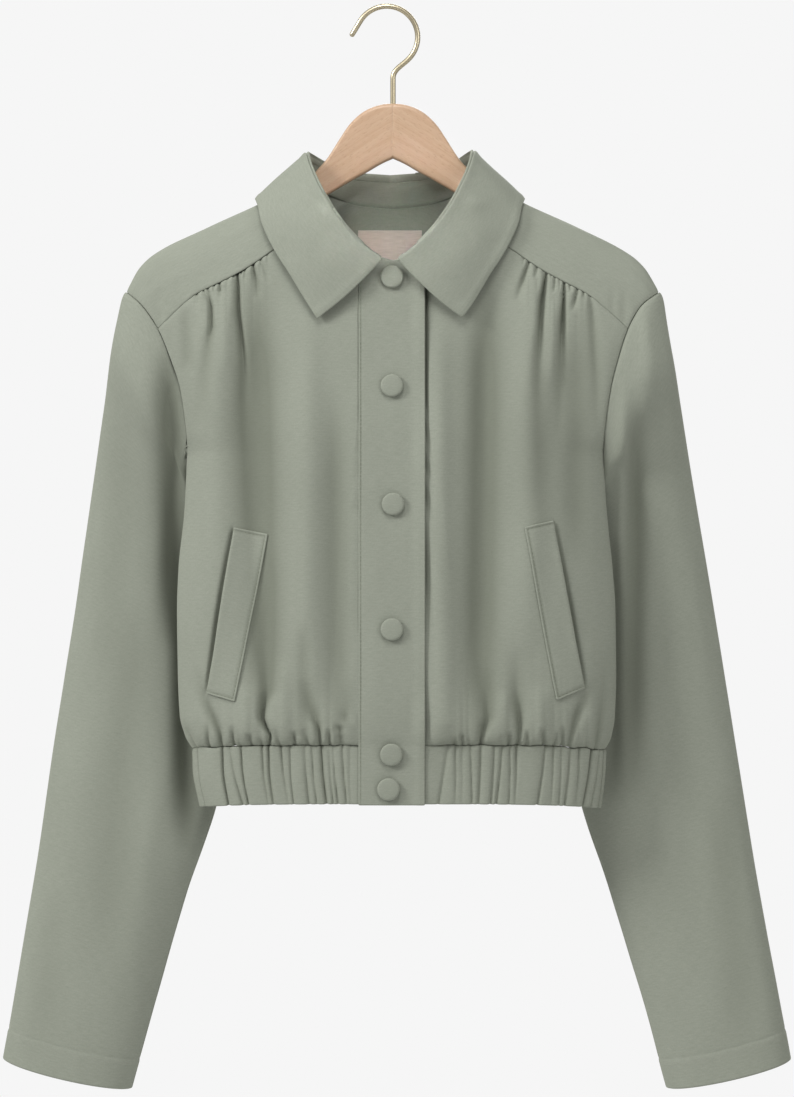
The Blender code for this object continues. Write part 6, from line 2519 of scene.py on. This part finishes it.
@dataclass
class Studio:
    """Camera, lights, pale surroundings and floor, in metres."""

    camera_place: tuple[float, float, float] = (0.0072, -12.02, -0.4328)
    lens: float = 492.0
    sensor: float = 36.0
    floor_z: float = -1.15
    floor_size: float = 3.0
    backdrop: str = "f6f6f6"
    ambient: float = 0.455
    softboxes: tuple = (
        Softbox("key softbox", (-3.9, -2.09, 1.9), 1.52, 184.0),
        Softbox("top softbox", (-0.15, -1.05, 1.15), 0.9, 17.6),
        Softbox("fill softbox", (1.9, -2.2, 0.1), 1.4, 17.0),
        Softbox("gridded neck softbox", (0.0, -1.3, 0.08), 0.05, 0.0115, (0.004, 0.03, -0.177), 6.0),
        Softbox("back softbox", (0.4, 2.6, 0.9), 1.8, 40.0),
    )

    def make(self) -> None:
        """Builds the stage round the object."""
        scene = bpy.context.scene
        camera = bpy.data.cameras.new("camera")
        camera.lens = self.lens
        camera.sensor_fit = "VERTICAL"
        camera.sensor_height = self.sensor
        camera.clip_end = 50
        made = bpy.data.objects.new("camera", camera)
        made.location = self.camera_place
        made.rotation_euler = (math.radians(90), 0, 0)
        scene.collection.objects.link(made)
        scene.camera = made
        for softbox in self.softboxes:
            softbox.make()
        self.surroundings()
        self.floor()
        scene.view_settings.view_transform = "Standard"
        scene.view_settings.look = "None"

    def surroundings(self) -> None:
        """Pale surroundings: near white as seen, and a softer light on the jacket."""
        world = bpy.data.worlds.new("pale studio")
        bpy.context.scene.world = world
        world.use_nodes = True
        tree = world.node_tree
        tree.nodes.clear()
        seen = add(tree, "ShaderNodeBackground", {"Color": linear(self.backdrop), "Strength": 1.0})
        glow = add(tree, "ShaderNodeBackground", {"Color": (1, 1, 1, 1), "Strength": self.ambient})
        path = add(tree, "ShaderNodeLightPath")
        mixed = add(tree, "ShaderNodeMixShader", {
            "Fac": path.outputs["Is Camera Ray"], 1: glow.outputs[0], 2: seen.outputs[0],
        })
        add(tree, "ShaderNodeOutputWorld", {"Surface": mixed.outputs[0]})

    def floor(self) -> None:
        """The floor, below what the camera sees."""
        half = self.floor_size / 2
        corners = [(x * half, y * half, self.floor_z) for x, y in ((-1, -1), (1, -1), (1, 1), (-1, 1))]
        mesh = bpy.data.meshes.new("studio_floor")
        mesh.from_pydata(corners, [], [(0, 1, 2, 3)])
        mesh.materials.append(StudioPaper().material())
        floor = bpy.data.objects.new("studio_floor", mesh)
        bpy.context.scene.collection.objects.link(floor)


# --- The whole object ------------------------------------------------------------------------------


@dataclass(frozen=True)
class Cut:
    """What a piece of cloth was cut to, in metres, and how it is held."""

    width: float
    length: float
    held: Held
    rests_on: tuple[str, ...]
    area: float | None = None


def dress(piece: bpy.types.Object, node: str, finish: bpy.types.Material | None = None) -> None:
    """Gives a piece its finish and its body, and hides the CAD node that it stands for.

    Args:
        piece: the piece.
        node: the CAD node that it stands for.
        finish: its material, unless it has it already.
    """
    if finish is not None:
        piece.data.materials.clear()
        piece.data.materials.append(finish)
    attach(piece, "root")
    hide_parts(node)
    LOG.info("%s: %d faces", piece.name, len(piece.data.polygons))


def stitches(closure: Closure, finish: bpy.types.Material) -> list[bpy.types.Object]:
    """The rows of stitches that show, on the placket and the welts.

    Args:
        closure: the pieces that they are sewn in.
        finish: the thread.

    Returns:
        The rows.
    """
    thread = StitchLine()
    tree, sizes = thread.tree(finish), thread.sizes()
    drop = np.arange(212, closure.body.form.hem_drop - 3, 2.0)
    x = closure.placket_reach[0] + closure.placket_inset + 0 * drop
    line, _ = closure.laid(x, drop, closure.placket_lift + closure.placket_wall - 0.14)
    made = [grown("placket_stitches", polyline("placket stitch path", line), tree, sizes)]
    for flank in Flank:
        (width, length), edge = closure.welt_size(flank), closure.stitch_inset
        inner, end = width - edge, length - edge
        corners = np.array([(0.5, edge), (inner, edge), (inner, end), (0.5, end)])
        run = run_along(corners)
        spots = np.arange(0, run[-1], 1.5)
        aside, down = np.interp(spots, run, corners[:, 0]), np.interp(spots, run, corners[:, 1])
        lift = closure.welt_lift + closure.welt_wall - 0.3
        line, _ = closure.laid(*closure.welt_spot(flank, aside, down), lift)
        made.append(grown(f"welt_stitches_{flank.word}", polyline("welt stitch path", line), tree, sizes))
    return made


def main() -> None:
    """Builds, dresses and lights the jacket on its hanger."""
    logging.basicConfig(level=logging.INFO, format="%(name)s: %(message)s")
    twill, label = CrepeTwill().material(), WovenLabel().material()
    beech, brass, thread = LacqueredBeech().material(), PlatedWire().material(), SewingThread().material()
    form = BodyForm()
    body = Body(form, BodyFolds(form), Cloth())
    closure, collar, hanger = Closure(body), Collar(body), Hanger()
    for flank in Flank:
        dress(body.front(flank), f"front_{flank.word}", twill)
    dress(body.back(), "back", twill)
    dress(Yoke(body).make(), "yoke", twill)
    dress(Waistband(body).make(), "waistband", twill)
    for flank in Flank:
        dress(Sleeve(body, flank).make(), f"sleeve_{flank.word}", twill)
    dress(collar.fall(), "collar_fall", twill)
    dress(collar.stand(), "collar_stand", twill)
    dress(closure.placket(), "placket", twill)
    for flank in Flank:
        dress(closure.welt(flank), f"pocket_welt_{flank.word}", twill)
    dress(closure.label(), "neck_label", label)
    for number, (reach, drop) in enumerate(closure.buttons, 1):
        dress(closure.button(number, reach, drop), f"button_{number}", twill)
    for flank in Flank:
        dress(hanger.arm_piece(flank), f"hanger_arm_{flank.word}", beech)
    dress(hanger.hook(brass), "hanger_hook")
    for piece in stitches(closure, thread):
        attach(piece, "root")
        LOG.info("%s: %d faces", piece.name, len(piece.data.polygons))
    Studio().make()
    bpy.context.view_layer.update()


if __name__ == "__main__":
    main()
